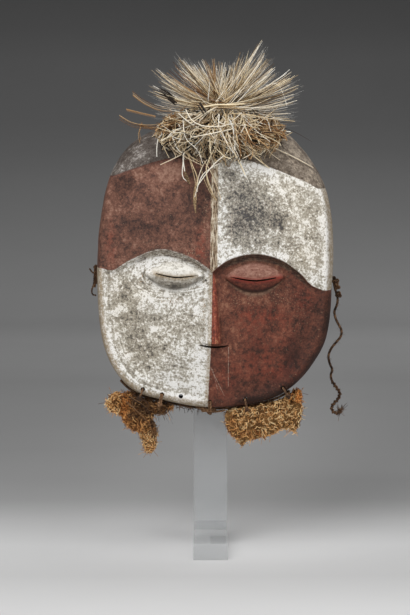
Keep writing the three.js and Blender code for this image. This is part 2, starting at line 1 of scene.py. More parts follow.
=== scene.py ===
# Carved and painted face mask with a straw tuft, two fibre beards and its cords, on a clear stand.
# The face looks to -Y, +Z is up. The numbers in the dictionaries are millimetres unless they say so.
import math
import bpy
import numpy as np
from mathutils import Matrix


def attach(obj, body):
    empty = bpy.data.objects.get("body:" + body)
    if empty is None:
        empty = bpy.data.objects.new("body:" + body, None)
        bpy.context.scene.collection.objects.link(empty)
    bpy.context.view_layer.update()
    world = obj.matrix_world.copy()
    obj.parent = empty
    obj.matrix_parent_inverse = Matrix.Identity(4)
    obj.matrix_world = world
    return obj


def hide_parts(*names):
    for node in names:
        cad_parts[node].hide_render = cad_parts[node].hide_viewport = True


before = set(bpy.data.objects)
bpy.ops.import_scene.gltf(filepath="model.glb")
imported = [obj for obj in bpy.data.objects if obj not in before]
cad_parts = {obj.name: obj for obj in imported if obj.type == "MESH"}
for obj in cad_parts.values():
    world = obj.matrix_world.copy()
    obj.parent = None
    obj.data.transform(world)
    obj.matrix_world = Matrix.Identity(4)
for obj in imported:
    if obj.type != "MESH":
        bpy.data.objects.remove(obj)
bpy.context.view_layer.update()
mm = 0.001
print("solids loaded")


# camera, floor and light

photoView = {"place": (-0.0064, -2.0, 0.4948), "tiltDown": 6.0, "lens": 99.63}


def addCamera():
    turn = (math.radians(90 - photoView["tiltDown"]), 0, 0)
    bpy.ops.object.camera_add(location=photoView["place"], rotation=turn)
    camera = bpy.context.object
    camera.data.lens = photoView["lens"]
    camera.data.clip_end = 60
    bpy.context.scene.camera = camera


addCamera()
print("camera set")


# lines, noise and mesh helpers

def throughPoints(points, closed=False, evenKnots=True, perSpan=24):
    knots = np.asarray(points, float)
    if closed:
        knots = np.vstack([knots[-1:], knots, knots[:2]])
    elif evenKnots:
        knots = np.vstack([knots[:1], knots, knots[-1:]])
    else:
        knots = np.vstack([2 * knots[:1] - knots[1:2], knots, 2 * knots[-1:] - knots[-2:-1]])
    t = (np.arange(perSpan) / perSpan)[:, None]
    line = []
    for a, b, c, d in zip(knots, knots[1:], knots[2:], knots[3:]):
        s, m, e = [1.0 if evenKnots else max(np.linalg.norm(q - p) ** 0.5, 1e-9)
                   for p, q in ((a, b), (b, c), (c, d))]
        into = ((b - a) / s - (c - a) / (s + m) + (c - b) / m) * m
        out = ((c - b) / m - (d - b) / (m + e) + (d - c) / e) * m
        line.append((2 * t**3 - 3 * t**2 + 1) * b + (t**3 - 2 * t**2 + t) * into
                    + (3 * t**2 - 2 * t**3) * c + (t**3 - t**2) * out)
    if not closed:
        line.append(knots[-2:-1])
    return np.vstack(line)


def alongLine(line, shares):
    steps = np.linalg.norm(np.diff(line, axis=0), axis=1)
    lengths = np.concatenate([[0], np.cumsum(steps)])
    at = np.asarray(shares) * lengths[-1]
    return np.stack([np.interp(at, lengths, line[:, k]) for k in range(line.shape[1])], axis=-1)


def lineLength(line):
    return float(np.linalg.norm(np.diff(line, axis=0), axis=1).sum())


def heightOn(line, x):
    return np.interp(x, line[:, 0], line[:, 1])


def smooth(value, low, high):
    t = np.clip((value - low) / (high - low), 0, 1)
    return t * t * (3 - 2 * t)


def unevenness(x, z, size, seed):
    cells = 89
    table = np.random.default_rng(seed).random((cells, cells))
    u, v = np.asarray(x) / size + 400, np.asarray(z) / size + 400
    i, j = np.floor(u).astype(int), np.floor(v).astype(int)
    s, t = smooth(u - i, 0, 1), smooth(v - j, 0, 1)
    i, j, nextI, nextJ = i % cells, j % cells, (i + 1) % cells, (j + 1) % cells
    low = table[i, j] * (1 - s) + table[nextI, j] * s
    high = table[i, nextJ] * (1 - s) + table[nextI, nextJ] * s
    return 2 * (low * (1 - t) + high * t) - 1


def toolMarks(x, z, marks, seed):
    return sum(height * unevenness(x, z, size, seed + k) for k, (size, height) in enumerate(marks))


def deselectAll():
    bpy.ops.object.select_all(action="DESELECT")


def selectOnly(*pieces):
    deselectAll()
    for piece in pieces:
        piece.select_set(True)
    bpy.context.view_layer.objects.active = pieces[0]


def namedPiece(name):
    piece = bpy.context.object
    piece.name = piece.data.name = name
    return piece


def joinPieces(name, pieces):
    selectOnly(*pieces)
    if len(pieces) > 1:
        bpy.ops.object.join()
    return namedPiece(name)


def applyModifier(piece, kind, **settings):
    selectOnly(piece)
    modifier = piece.modifiers.new(kind, kind)
    for key, value in settings.items():
        setattr(modifier, key, value)
    bpy.ops.object.modifier_apply(modifier=modifier.name)


def inEditMode(*steps):
    bpy.ops.object.mode_set(mode="EDIT")
    for step, ways in steps:
        step(**ways)
    bpy.ops.object.mode_set(mode="OBJECT")


def placesOf(piece):
    flat = np.empty(3 * len(piece.data.vertices), np.float32)
    piece.data.vertices.foreach_get("co", flat)
    return flat.reshape(-1, 3).astype(float)


def setPlaces(piece, places):
    piece.data.vertices.foreach_set("co", np.asarray(places, np.float32).ravel())
    piece.data.update()


def addGrid(name, places):
    rows, columns = places.shape[0] - 1, places.shape[1] - 1
    deselectAll()
    bpy.ops.mesh.primitive_grid_add(x_subdivisions=columns, y_subdivisions=rows, size=2)
    piece = namedPiece(name)
    flat = placesOf(piece)
    column = np.rint((flat[:, 0] + 1) / 2 * columns).astype(int)
    row = np.rint((1 - flat[:, 1]) / 2 * rows).astype(int)
    setPlaces(piece, places[row, column] * mm)
    return piece


def giveMaterial(piece, look):
    piece.data.materials.clear()
    piece.data.materials.append(look)


def shadeSmooth(piece, angle=None):
    selectOnly(piece)
    if angle is None:
        bpy.ops.object.shade_smooth()
    else:
        bpy.ops.object.shade_smooth_by_angle(angle=math.radians(angle))


def finishPiece(piece, slotName, *nodes):
    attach(piece, "root")
    if nodes:
        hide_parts(*nodes)
    print(piece.name, len(piece.data.polygons), "faces")
    return piece


# node helpers, which add to the look in work

def newLook(name):
    global tree
    look = bpy.data.materials.new(name)
    look.use_nodes = True
    tree = look.node_tree
    tree.nodes.clear()
    return look


def addNode(kind, inputs=(), **settings):
    node = tree.nodes.new(kind)
    for key, value in settings.items():
        setattr(node, key, value)
    for key, value in dict(inputs).items():
        if isinstance(value, bpy.types.NodeSocket):
            tree.links.new(value, node.inputs[key])
        else:
            node.inputs[key].default_value = value
    return node


def objectPlace(scale=(1, 1, 1)):
    coordinates = addNode("ShaderNodeTexCoord").outputs["Object"]
    return addNode("ShaderNodeMapping", {"Vector": coordinates, "Scale": scale}).outputs[0]


def noiseOf(place, scale, detail=4, roughness=0.6, distortion=0.0):
    inputs = {"Vector": place, "Scale": scale, "Detail": detail, "Roughness": roughness,
              "Distortion": distortion}
    return addNode("ShaderNodeTexNoise", inputs).outputs["Fac"]


def calc(operation, first, second=0.0, third=0.0):
    return addNode("ShaderNodeMath", {0: first, 1: second, 2: third}, operation=operation).outputs[0]


def minus(first, second):
    return calc("SUBTRACT", first, second)


def product(total, *values):
    for value in values:
        total = calc("MULTIPLY", total, value)
    return total


def sumOf(total, *terms):
    for value, weight in terms:
        total = calc("MULTIPLY_ADD", value, weight, total)
    return total


def rangeOf(value, low, high, toLow=0.0, toHigh=1.0):
    inputs = {"Value": value, "From Min": low, "From Max": high, "To Min": toLow, "To Max": toHigh}
    return addNode("ShaderNodeMapRange", inputs, clamp=True).outputs[0]


def attributeOf(name):
    return addNode("ShaderNodeAttribute", attribute_name=name).outputs["Fac"]


def strandShare():
    return addNode("ShaderNodeNewGeometry").outputs["Random Per Island"]


def mixColours(factor, first, second, blend="MIX"):
    first, second = [(*colour, 1) if isinstance(colour, tuple) else colour for colour in (first, second)]
    inputs = {0: factor, 6: first, 7: second}
    return addNode("ShaderNodeMix", inputs, data_type="RGBA", blend_type=blend).outputs[2]


def rampOf(factor, stops):
    node = addNode("ShaderNodeValToRGB", {"Fac": factor})
    band = node.color_ramp.elements
    band[0].position, band[-1].position = stops[0][0], stops[-1][0]
    for at, _ in stops[1:-1]:
        band.new(at)
    for element, (_, colour) in zip(band, stops):
        element.color = (*colour, 1)
    return node.outputs["Color"]


def surfaceOf(colour, roughness, height=None, bumpStrength=0.5, bumpDistance=0.0004, **sockets):
    inputs = {"Base Color": colour, "Roughness": roughness}
    inputs.update((name.replace("_", " "), value) for name, value in sockets.items())
    if height is not None:
        bump = {"Height": height, "Strength": bumpStrength, "Distance": bumpDistance}
        inputs["Normal"] = addNode("ShaderNodeBump", bump).outputs[0]
    addNode("ShaderNodeOutputMaterial", {0: addNode("ShaderNodeBsdfPrincipled", inputs).outputs[0]})


# twisted cords

# Dark, middle and light tone of each thread
cordTones = {
    "aged_cord": ((0.014, 0.009, 0.006), (0.085, 0.046, 0.026), (0.30, 0.17, 0.09)),
    "brown_thread": ((0.035, 0.017, 0.009), (0.13, 0.066, 0.033), (0.36, 0.21, 0.11)),
}
# Distance of the plies from a cord's middle, as a share of its diameter
plyOffset = 0.26


def makeCordMaterial(name):
    look = newLook(name)
    place = objectPlace()
    fine, broad = noiseOf(place, 1400, 3, 0.7), noiseOf(place, 110, 3, 0.6)
    tone = sumOf(-0.08, (fine, 0.5), (broad, 0.5), (strandShare(), 0.16))
    colour = rampOf(tone, list(zip((0.38, 0.5, 0.66), cordTones[name])))
    surfaceOf(colour, 0.85, fine, 0.6, 0.0003, Specular_IOR_Level=0.25)
    return look


cordMaterial = makeCordMaterial("aged_cord")
brownThread = makeCordMaterial("brown_thread")


def unit(vectors):
    return vectors / np.linalg.norm(vectors, axis=-1)[..., None]


def sideDirections(line):
    along = unit(np.gradient(line, axis=0))
    side = np.cross(along[0], (0.3, 0.5, 0.81))
    first = []
    for direction in along:
        side = unit(side - direction * side.dot(direction))
        first.append(side)
    return np.array(first), np.cross(along, first)


def thinned(share):
    return lambda k, t: 1 - share * t


def strandsFrom(name, routes, thickness, look, taper=thinned(0), sides=0):
    data = bpy.data.curves.new(name, "CURVE")
    data.dimensions = "3D"
    data.bevel_depth = thickness * mm
    data.bevel_resolution = sides
    data.use_fill_caps = True
    for k, route in enumerate(routes):
        spline = data.splines.new("POLY")
        spline.points.add(len(route) - 1)
        spline.points.foreach_set("co", np.column_stack([route * mm, np.ones(len(route))]).ravel())
        spline.points.foreach_set("radius", taper(k, np.linspace(0, 1, len(route))))
    curve = bpy.data.objects.new(name, data)
    bpy.context.collection.objects.link(curve)
    selectOnly(curve)
    bpy.ops.object.convert(target="MESH")
    piece = namedPiece(name)
    giveMaterial(piece, look)
    shadeSmooth(piece)
    return piece


def addTwist(name, line, diameter, thickness, look=cordMaterial, plies=2, pitch=5.0, closed=False):
    first, second = sideDirections(line)
    steps = np.concatenate([[0], np.cumsum(np.linalg.norm(np.diff(line, axis=0), axis=1))])
    turns = steps / pitch
    if closed:
        turns *= max(1, round(turns[-1])) / turns[-1]
    routes = []
    for ply in range(plies):
        angle = 2 * math.pi * (turns + ply / plies)[:, None]
        routes.append(line + diameter * plyOffset * (np.cos(angle) * first + np.sin(angle) * second))
    return strandsFrom(name, routes, thickness, look, sides=1)


def evenLine(points, step, **ways):
    line = throughPoints(points, **ways)
    return alongLine(line, np.linspace(0, 1, max(4, int(lineLength(line) / step))))


def knotRoute(centre, size, tilt):
    t = np.linspace(0, 2 * math.pi, 70)
    x, z = np.sin(t) + 2 * np.sin(2 * t), np.cos(t) - 2 * np.cos(2 * t)
    turned = [x * math.cos(tilt) - z * math.sin(tilt), -1.1 * np.sin(3 * t),
              x * math.sin(tilt) + z * math.cos(tilt)]
    return np.asarray(centre) + np.column_stack(turned) / 3 * size


def addKnots(name, knots, thickness, look):
    return strandsFrom(name, [knotRoute(*knot) for knot in knots], thickness, look, sides=1)


hangingCord = {
    "route": [
        (146.6, 10.8, 312.4), (147.6, 10.4, 307), (149.6, 9.8, 300), (151, 9.2, 293.5),
        (149.8, 8.8, 286), (147.2, 8.2, 279), (148.6, 7.6, 271), (152.2, 7.2, 263.5),
        (155.6, 7.4, 256.5), (155, 8, 249.5), (149.8, 8.6, 242.5), (144, 8.8, 235), (140.6, 8.6, 226),
        (142, 8, 217), (145, 7.6, 209.5), (143.4, 7.4, 202.5), (145.4, 7.6, 195), (149.8, 8, 188.4),
        (154.2, 8.2, 181.4), (152.6, 8, 174.5), (147.6, 7.6, 169), (144.6, 7.4, 163.6),
        (147, 7.2, 158.4), (152, 7, 157), (156, 7, 160.6),
    ],
    "diameter": 3.2, "step": 1.0, "pitch": 6.5, "knotThread": 1.05,
    # Knots on it: place, size and tilt
    "knots": [((149.0, 9.6, 314), 3.6, 0.4), ((150.4, 9.9, 308), 3.0, 1.4), ((152.0, 9, 299), 3.4, 0.9)],
    "fray": {"count": 60, "length": (3, 9), "thickness": 0.36, "seed": 9},
    # A thinner thread wound round the lower end, and short hairs along the cord
    "wrap": {"from": 0.70, "out": 1.9, "pitch": 4.6, "thickness": 0.85},
    "hairs": {"count": 150, "length": (1.4, 3.6), "thickness": 0.16},
}


def addCordKnots(line):
    knots = [addKnots("cord_knots", hangingCord["knots"], hangingCord["knotThread"], brownThread)]
    wrap = hangingCord["wrap"]
    lower = line[int(wrap["from"] * len(line)):]
    first, second = sideDirections(lower)
    turns = 2 * math.pi * np.arange(len(lower))[:, None] * hangingCord["step"] / wrap["pitch"]
    wound = lower + wrap["out"] * (np.cos(turns) * first + np.sin(turns) * second)
    knots.append(strandsFrom("cord_wrap", [wound], wrap["thickness"], brownThread, sides=1))
    return finishPiece(joinPieces("cord_knots", knots), "cord")


def addFrayedEnd(line):
    fray, hair = hangingCord["fray"], hangingCord["hairs"]
    rng, end = np.random.default_rng(fray["seed"]), line[-1]
    t = np.linspace(0, 1, 7)[:, None]
    fibres = []
    for _ in range(fray["count"]):
        aim = np.array([rng.normal(0.25, 0.6), rng.normal(0, 0.3), rng.normal(0.15, 0.75)])
        length = rng.uniform(*fray["length"])
        start = end + rng.normal(0, 0.9, 3) - np.array([2.4, 0, 1.6]) * rng.uniform(0, 1)
        fibres.append(start + unit(aim) * length * t + rng.normal(0, 2.2, 3) * t * t)
    hairs = []
    for place in line[rng.integers(8, len(line), hair["count"])]:
        aim = rng.normal(0, 1, 3)
        length = rng.uniform(*hair["length"])
        hairs.append(place + unit(aim) * (1 + length * t) + rng.normal(0, 0.6, 3) * t * t)
    return finishPiece(joinPieces("cord_fray", [
        strandsFrom("cord_fray", fibres, fray["thickness"], cordMaterial, thinned(0.6)),
        strandsFrom("cord_hairs", hairs, hair["thickness"], brownThread, thinned(0.6))]), "cord")


def addHangingCord():
    diameter = hangingCord["diameter"]
    line = evenLine(hangingCord["route"], hangingCord["step"], evenKnots=False)
    piece = addTwist("hanging_cord_twist", line, diameter, diameter / 4, plies=3, pitch=hangingCord["pitch"])
    addCordKnots(line)
    addFrayedEnd(line)
    return finishPiece(piece, "cord", "hanging_cord")


addHangingCord()
print("hanging cord made")


# the carved mask: its lines, its relief and its shell

maskShape = {
    "silhouette": [
        (-115.4, 444.2), (-95.5, 474.5), (-70.9, 490.8), (-41.6, 497.8), (5.3, 500.2), (46.4, 497.8),
        (86.3, 490.8), (106.2, 473.4), (131.2, 434), (141.6, 388.5), (141.8, 319), (133.4, 250),
        (113.4, 215.5), (82, 187.5), (45, 177), (-3, 173.2), (-52.9, 181), (-89, 192.5),
        (-111.1, 215.5), (-125.2, 250), (-131.9, 319), (-128, 388.5),
    ],
    "crownTop": 4, "upperRight": 8, "lowerRight": 12, "chinMiddle": 15, "lowerLeft": 18,
    "arris": [(-80.3, 450.5), (-46.2, 459.5), (3, 464), (50, 456.5), (101.7, 437)],
    "browLeft": [(-111, 334), (-92, 345.5), (-57.6, 358), (-23.5, 349.5), (2, 333.5)],
    "browRight": [(2, 333.5), (22, 347), (50, 353), (79, 346.5), (101.8, 330.7), (115, 317)],
    "browLeftEnd": 0.47, "browRightEnd": 0.562,
    "noseAxis": [(2, 333.5), (0.6, 250)], "keelAxis": [(3, 464), (2, 333.5)],
    "middle": (4, 330), "backTaper": 0.97, "innerScale": 0.92, "wood": 11, "crownLedge": 3,
    # Depth of the face's plain surface and how far it bulges over these half measures
    "faceDepth": -56, "bulge": 18, "bulgeHalf": (126, 145),
    # Depth of the silhouette, and of the rim behind it: at the chin, and per millimetre above it
    "chinZ": 174, "outlineDepth": (-45, 0.165), "rimDepth": (9, 0.19),
    # Width of the rounded band between face and silhouette, and how it grows with X
    "bandWidth": (9, 3 / 140),
}
maskCarving = {
    "browStep": 7.5, "browSpread": 0.034, "keelWidth": 5.5, "keelHeight": 2.6,
    "noseTop": 333.5, "noseBottom": 251, "noseHalfWidths": (3.5, 12.2), "noseHeights": (2.5, 12.5),
    "noseAside": 1.5, "chinEnd": 182, "lidHeight": 7,
    # How far to the sides, and up and down as a share, the rows bend to run along the nose's foot
    "noseReach": (17, 0.09),
    # Size and height of the tool marks on the face, on the band round it and in the hollow
    "faceMarks": ((34, 0.45), (13, 0.28), (5, 0.12)), "bandMarks": ((17, 0.35), (6, 0.16)),
    "hollowMarks": ((15, 0.9), (8, 0.5)),
}
eyeShapes = [
    {"x": -40.7, "z": 328.5, "half": 34, "rise": 15.5,
     "slit": [(-67, 332), (-41, 326.6), (-15.5, 328.8)], "slitWidth": 1.7},
    {"x": 50.7, "z": 326, "half": 35.5, "rise": 17,
     "slit": [(22, 327.2), (51.5, 322.6), (83, 327.6)], "slitWidth": 2.0},
]
mouthCut = {"line": [(-13.3, 248), (5.1, 245.6), (21.1, 247.6)], "width": 2.4, "depth": 3.2}
slitDepth = 3.6
middle = np.array(maskShape["middle"], float)
outlineLine = throughPoints(maskShape["silhouette"], closed=True, evenKnots=False)


def outlineSection(start, end):
    perSpan = len(outlineLine) // len(maskShape["silhouette"])
    start, end = [perSpan * maskShape.get(corner, corner) for corner in (start, end)]
    step = 1 if end > start else -1
    return outlineLine[np.arange(start, end + step, step) % len(outlineLine)]


outlineSides = {
    "crownLeft": outlineSection("crownTop", 0), "crownRight": outlineSection("crownTop", "upperRight"),
    "chinLeft": outlineSection("chinMiddle", "lowerLeft"),
    "chinRight": outlineSection("chinMiddle", "lowerRight"),
    "left": outlineSection(len(maskShape["silhouette"]), "lowerLeft"),
    "right": outlineSection("upperRight", "lowerRight"),
}


def borderOf(points):
    out = points - middle
    width, growth = maskShape["bandWidth"]
    band = width + growth * points[..., 0]
    return middle + out * (1 - band / np.linalg.norm(out, axis=-1))[..., None]


def borderAt(side, shares):
    return borderOf(alongLine(outlineSides[side], shares))


arrisLine = throughPoints([borderAt("left", [0])[0], *maskShape["arris"], borderAt("right", [0])[0]])


def coonsPatch(top, bottom, inner, outer, across, down):
    a, d = across[None, :, None], down[:, None, None]
    rails = top[None] * (1 - d) + bottom[None] * d
    ribs = inner[:, None] * (1 - a) + outer[:, None] * a
    corners = (top[0] * (1 - a) * (1 - d) + top[-1] * a * (1 - d)
               + bottom[0] * (1 - a) * d + bottom[-1] * a * d)
    return rails + ribs - corners


def halfFace(side, chin, arris, brow, browEnd, across, foreheadDown, lowerDown):
    browLine = alongLine(throughPoints([*brow, borderAt(side, [browEnd])[0]]), across)
    topLine = alongLine(throughPoints([*arris, borderAt(side, [0])[0]]), across)
    keelLine = alongLine(throughPoints(maskShape["keelAxis"]), foreheadDown)
    noseLine = alongLine(throughPoints([*maskShape["noseAxis"], borderAt(chin, [0])[0]]), lowerDown)
    forehead = coonsPatch(topLine, browLine, keelLine, borderAt(side, browEnd * foreheadDown),
                          across, foreheadDown)
    lower = coonsPatch(browLine, borderAt(chin, across), noseLine,
                       borderAt(side, browEnd + (1 - browEnd) * lowerDown), across, lowerDown)
    return np.vstack([forehead, lower[1:]])


def faceDepth(x, z):
    halfX, halfZ = maskShape["bulgeHalf"]
    out = ((x - middle[0]) / halfX) ** 2 + ((z - middle[1]) / halfZ) ** 2
    return maskShape["faceDepth"] - maskShape["bulge"] * np.maximum(0, 1 - out)


def outlineDepth(z, name="outlineDepth"):
    atChin, growth = maskShape[name]
    return atChin + growth * (z - maskShape["chinZ"])


def rimDepth(z):
    return outlineDepth(z) + outlineDepth(z, "rimDepth")


def lensOf(eye, x):
    return eye["rise"] * (1 - ((x - eye["x"]) / eye["half"]) ** 2)


def lidRise(x, z):
    rise = np.zeros_like(x)
    for eye in eyeShapes:
        lens = lensOf(eye, x)
        level = (z - eye["z"]) / np.maximum(lens, 1e-6)
        share = np.where((lens > 0) & (np.abs(level) < 1), np.abs(level), 1)
        lid = np.where(level > 0, (1 - share ** 2) ** 0.75, (1 - share ** 2.8) ** 0.6)
        rise = np.maximum(rise, maskCarving["lidHeight"] * lid * smooth(lens, 0, 4))
    return rise


def noseRise(x, z, axisX):
    top, bottom = maskCarving["noseTop"], maskCarving["noseBottom"]
    down = np.clip((top - z) / (top - bottom), 0, 1)
    narrow, wide = maskCarving["noseHalfWidths"]
    low, high = maskCarving["noseHeights"]
    away = np.abs(x - axisX - maskCarving["noseAside"]) / (narrow + (wide - narrow) * down)
    flank = np.clip(1.6 * (1 - away), 0, 1)
    tall = low + (high - low) * down ** 1.2
    return flank * tall * smooth(z, bottom - 1.2, bottom + 0.2) * (z < top + 2)


def faceShares(columns, foreheadRows, lowerRows):
    half = np.linspace(0, 1, columns + 1) ** 1.15
    top = maskCarving["noseTop"]
    noseShare = (top - maskCarving["noseBottom"]) / (top - maskCarving["chinEnd"])
    stops = [0, 0.07, 0.3, noseShare - 0.012, noseShare + 0.02, 1]
    weights = [0.18, 0.3, 0.13, 0.07, 0.32]
    down = [np.array([0.0])]
    for start, end, weight in zip(stops, stops[1:], weights):
        count = max(2, round(weight * lowerRows))
        down.append(np.linspace(start, end, count + 1)[1:])
    return half, np.linspace(0, 1, foreheadRows + 1), np.concatenate(down), noseShare


def facePlaces(columns, foreheadRows, lowerRows, carved):
    half, foreheadDown, lowerDown, noseShare = faceShares(columns, foreheadRows, lowerRows)
    arris = maskShape["arris"]
    left = halfFace("left", "chinLeft", arris[2::-1], maskShape["browLeft"][::-1],
                    maskShape["browLeftEnd"], half, foreheadDown, lowerDown)
    right = halfFace("right", "chinRight", arris[2:], maskShape["browRight"],
                     maskShape["browRightEnd"], half, foreheadDown, lowerDown)
    flat = np.concatenate([left[:, :0:-1], right], axis=1)
    across = np.concatenate([half[:0:-1], half])[None, :]
    x, z = flat[..., 0].copy(), flat[..., 1].copy()
    axisX = x[:, columns][:, None]
    down = np.concatenate([np.zeros(foreheadRows), lowerDown])[:, None]
    if carved:
        baseRow = foreheadRows + int(np.argmin(np.abs(lowerDown - noseShare)))
        sideways, upright = maskCarving["noseReach"]
        near = np.exp(-((x - axisX - maskCarving["noseAside"]) / sideways) ** 4)
        near *= np.exp(-((down - noseShare) / upright) ** 2)
        z += (maskCarving["noseBottom"] - z[baseRow]) * near
    depth = faceDepth(x, z)
    if carved:
        rows = np.arange(len(z))[:, None]
        onForehead = rows <= foreheadRows
        foreheadShare = np.clip(rows / foreheadRows, 0, 1)
        keelFade = maskCarving["keelHeight"] * (1 - 0.4 * foreheadShare)
        keel = keelFade * smooth(1 - np.abs(x - axisX) / maskCarving["keelWidth"], 0, 1)
        depth -= np.where(onForehead, keel, 0)
        fade = (1 - down) ** 1.4 * (1 - across ** 5)
        step = smooth(down, 0, maskCarving["browSpread"])
        depth += np.where(onForehead, 0, maskCarving["browStep"] * fade * step)
        raised = np.maximum(noseRise(x, z, axisX), lidRise(x, z) * fade ** 0.25)
        depth -= np.where(onForehead, 0, raised)
        shares = rows / len(z)
        fade = smooth(1 - across, 0, 0.05) * smooth(shares, 0, 0.03) * smooth(1 - shares, 0, 0.03)
        depth += toolMarks(x, z, maskCarving["faceMarks"], 11) * fade
    return np.stack([x, depth, z], axis=-1)


def walkBorder(grid, half, foreheadDown, lowerDown):
    sides = {}
    for side, end in (("left", maskShape["browLeftEnd"]), ("right", maskShape["browRightEnd"])):
        shares = np.concatenate([end * foreheadDown, (end + (1 - end) * lowerDown)[1:]])
        sides[side] = alongLine(outlineSides[side], shares)
    crown, chin = [np.vstack([alongLine(outlineSides[edge + "Left"], half)[:0:-1],
                              alongLine(outlineSides[edge + "Right"], half)]) for edge in ("crown", "chin")]
    inner = np.vstack([grid[0, :-1], grid[:-1, -1], grid[-1, :0:-1], grid[:0:-1, 0]])
    outer = np.vstack([crown[:-1], sides["right"][:-1], chin[:0:-1], sides["left"][:0:-1]])
    onTop = np.zeros(len(inner))
    across = np.concatenate([half[:0:-1], half[:-1]])
    onTop[:len(across)] = 1 - across ** 6
    return inner, outer, onTop


def bandRing(inner, outer, onTop, turn):
    front = inner[:, 1] + maskShape["crownLedge"] * onTop
    back = outlineDepth(outer[:, 1])
    x = inner[:, 0] + (outer[:, 0] - inner[:, 0]) * math.sin(turn)
    z = inner[:, 2] + (outer[:, 1] - inner[:, 2]) * math.sin(turn)
    return np.column_stack([x, front + (back - front) * (1 - math.cos(turn)), z])


def wallRing(outer, share):
    flat = middle + (outer - middle) * (1 + (maskShape["backTaper"] - 1) * share * share)
    front = outlineDepth(outer[:, 1])
    return np.column_stack([flat[:, 0], front + (rimDepth(outer[:, 1]) - front) * share, flat[:, 1]])


def drawnIn(places, back):
    scale, centre = maskShape["innerScale"], np.array([middle[0], 0, middle[1]])
    return centre + (places - centre) * (scale, 1, scale) + (0, back, 0)


def closedRings(rings):
    rings = np.array(rings)
    return np.concatenate([rings, rings[:, :1]], axis=1)


def bandTooling(rings):
    along = 120 * np.arctan2(rings[..., 2] - middle[1], rings[..., 0] - middle[0])
    bulge = toolMarks(along, rings[..., 1], maskCarving["bandMarks"], 21)
    ring, column = np.indices(bulge.shape)
    fade = smooth(ring, 1, 4) * smooth(-ring, 1 - len(rings), 4 - len(rings))
    fade *= smooth(np.minimum(column, column[:, ::-1]), 0, 12)
    rings[..., [0, 2]] += unit(rings[..., [0, 2]] - middle) * (bulge * fade)[..., None]
    return rings


# Columns of half the face, rows of the forehead and of what is below it, and rings of the band
maskSteps = {"outer": (118, 72, 140), "inner": (52, 32, 58), "turnRings": 12, "wallRings": 9}


def outerShell():
    steps = maskSteps["outer"]
    shares = faceShares(*steps)[:3]
    carved, plain = facePlaces(*steps, True), facePlaces(*steps, False)
    edge = walkBorder(carved, *shares)[0]
    inner, outer, onTop = walkBorder(plain, *shares)
    turns = (np.arange(1, maskSteps["turnRings"] + 1) / maskSteps["turnRings"]) ** 1.15 * math.pi / 2
    firstSide, firstTop = bandRing(inner, outer, onTop, 0.06), bandRing(inner, outer, onTop, 0.025)
    first = firstSide + (firstTop - firstSide) * onTop[:, None]
    rings = [edge, first] + [bandRing(inner, outer, onTop, turn) for turn in turns]
    walls = maskSteps["wallRings"]
    rings += [wallRing(outer, 0.97 * k / walls) for k in range(1, walls + 1)]
    rim = wallRing(outer, 1)
    rim[:, [0, 2]] = middle + (rim[:, [0, 2]] - middle) * 0.99
    rings.append(rim)
    band = bandTooling(closedRings(rings))
    return addGrid("mask_face", carved), addGrid("mask_band", band)


def innerShell():
    steps = maskSteps["inner"]
    shares = faceShares(*steps)[:3]
    plain = facePlaces(*steps, False)
    hollow = drawnIn(plain, maskShape["wood"])
    inner, outer, onTop = walkBorder(plain, *shares)
    edge = walkBorder(hollow, *shares)[0]
    rings = [drawnIn(wallRing(outer, share), back * maskShape["wood"])
             for share, back in ((1, 0), (0.8, 0.13), (0.55, 0.29), (0.3, 0.45))]
    rings += [drawnIn(bandRing(inner, outer, onTop, math.pi / 4), 0.9 * maskShape["wood"]), edge]
    rows, columns = np.indices(hollow.shape[:2])
    away = np.minimum.reduce([rows, columns, rows[::-1], columns[:, ::-1]])
    gouges = toolMarks(hollow[..., 0], hollow[..., 2], maskCarving["hollowMarks"], 31)
    hollow[..., 1] += gouges * smooth(away, 0, 4)
    return addGrid("hollow_face", hollow[:, ::-1]), addGrid("hollow_band", closedRings(rings))


rimHoles = {"x": (-81, -58, 0, 42, 88), "diameter": 5.2, "inward": 7.5, "empty": (-34.2, 187.5)}
# Where the bores into the face are centred and how long they are, and where a slit's cutter starts
bores = {"y": -50, "length": 60, "wallLength": 40, "cutterY": -110}
sideTies = [
    {"name": "side_tie_right", "z": 318, "holeY": 5.5, "wallX": 133.2, "loopY": 11.6,
     "loopHalf": (8.5, 6.2), "knot": (145.2, 11, 317), "knotSize": 3.6, "bights": [], "bands": []},
    {"name": "side_tie_left", "z": 331, "holeY": 6, "wallX": -123.4, "loopY": 14.1,
     "loopHalf": (8.5, 8.2), "knot": (-135, 12, 331), "knotSize": 3.0,
     "bights": [
         [(-136, 12, 332), (-137.6, 10, 322), (-138.2, 8, 312), (-140.4, 6, 304.4), (-139.3, 4, 300),
          (-135.2, 3, 298.6)],
         [(-136, 11, 324.5), (-139.1, 11, 324.8), (-143.4, 10.5, 330)],
     ],
     "bands": [
         [(-135.2, 12, 334), (-135.6, 10, 325), (-136, 8, 315), (-136.6, 7, 308)],
         [(-136.8, 11, 333.5), (-137.2, 9, 324), (-137.2, 7, 315), (-138, 6, 308)],
         [(-134.4, 11, 331), (-134.6, 9, 321), (-135, 7, 312)],
     ]},
]
tieThread = {"whole": 2.2, "ply": 0.6, "knot": 0.95}


def rimPlace(x):
    chinX = maskShape["silhouette"][maskShape["chinMiddle"]][0]
    section = outlineSides["chinLeft" if x < chinX else "chinRight"]
    place = int(np.argmin(np.abs(section[:, 0] - x)))
    point = section[place]
    ahead, behind = section[min(place + 2, len(section) - 1)], section[max(place - 2, 0)]
    inward = unit(np.array([-(ahead - behind)[1], (ahead - behind)[0]]))
    return point, inward if inward[1] > 0 else -inward


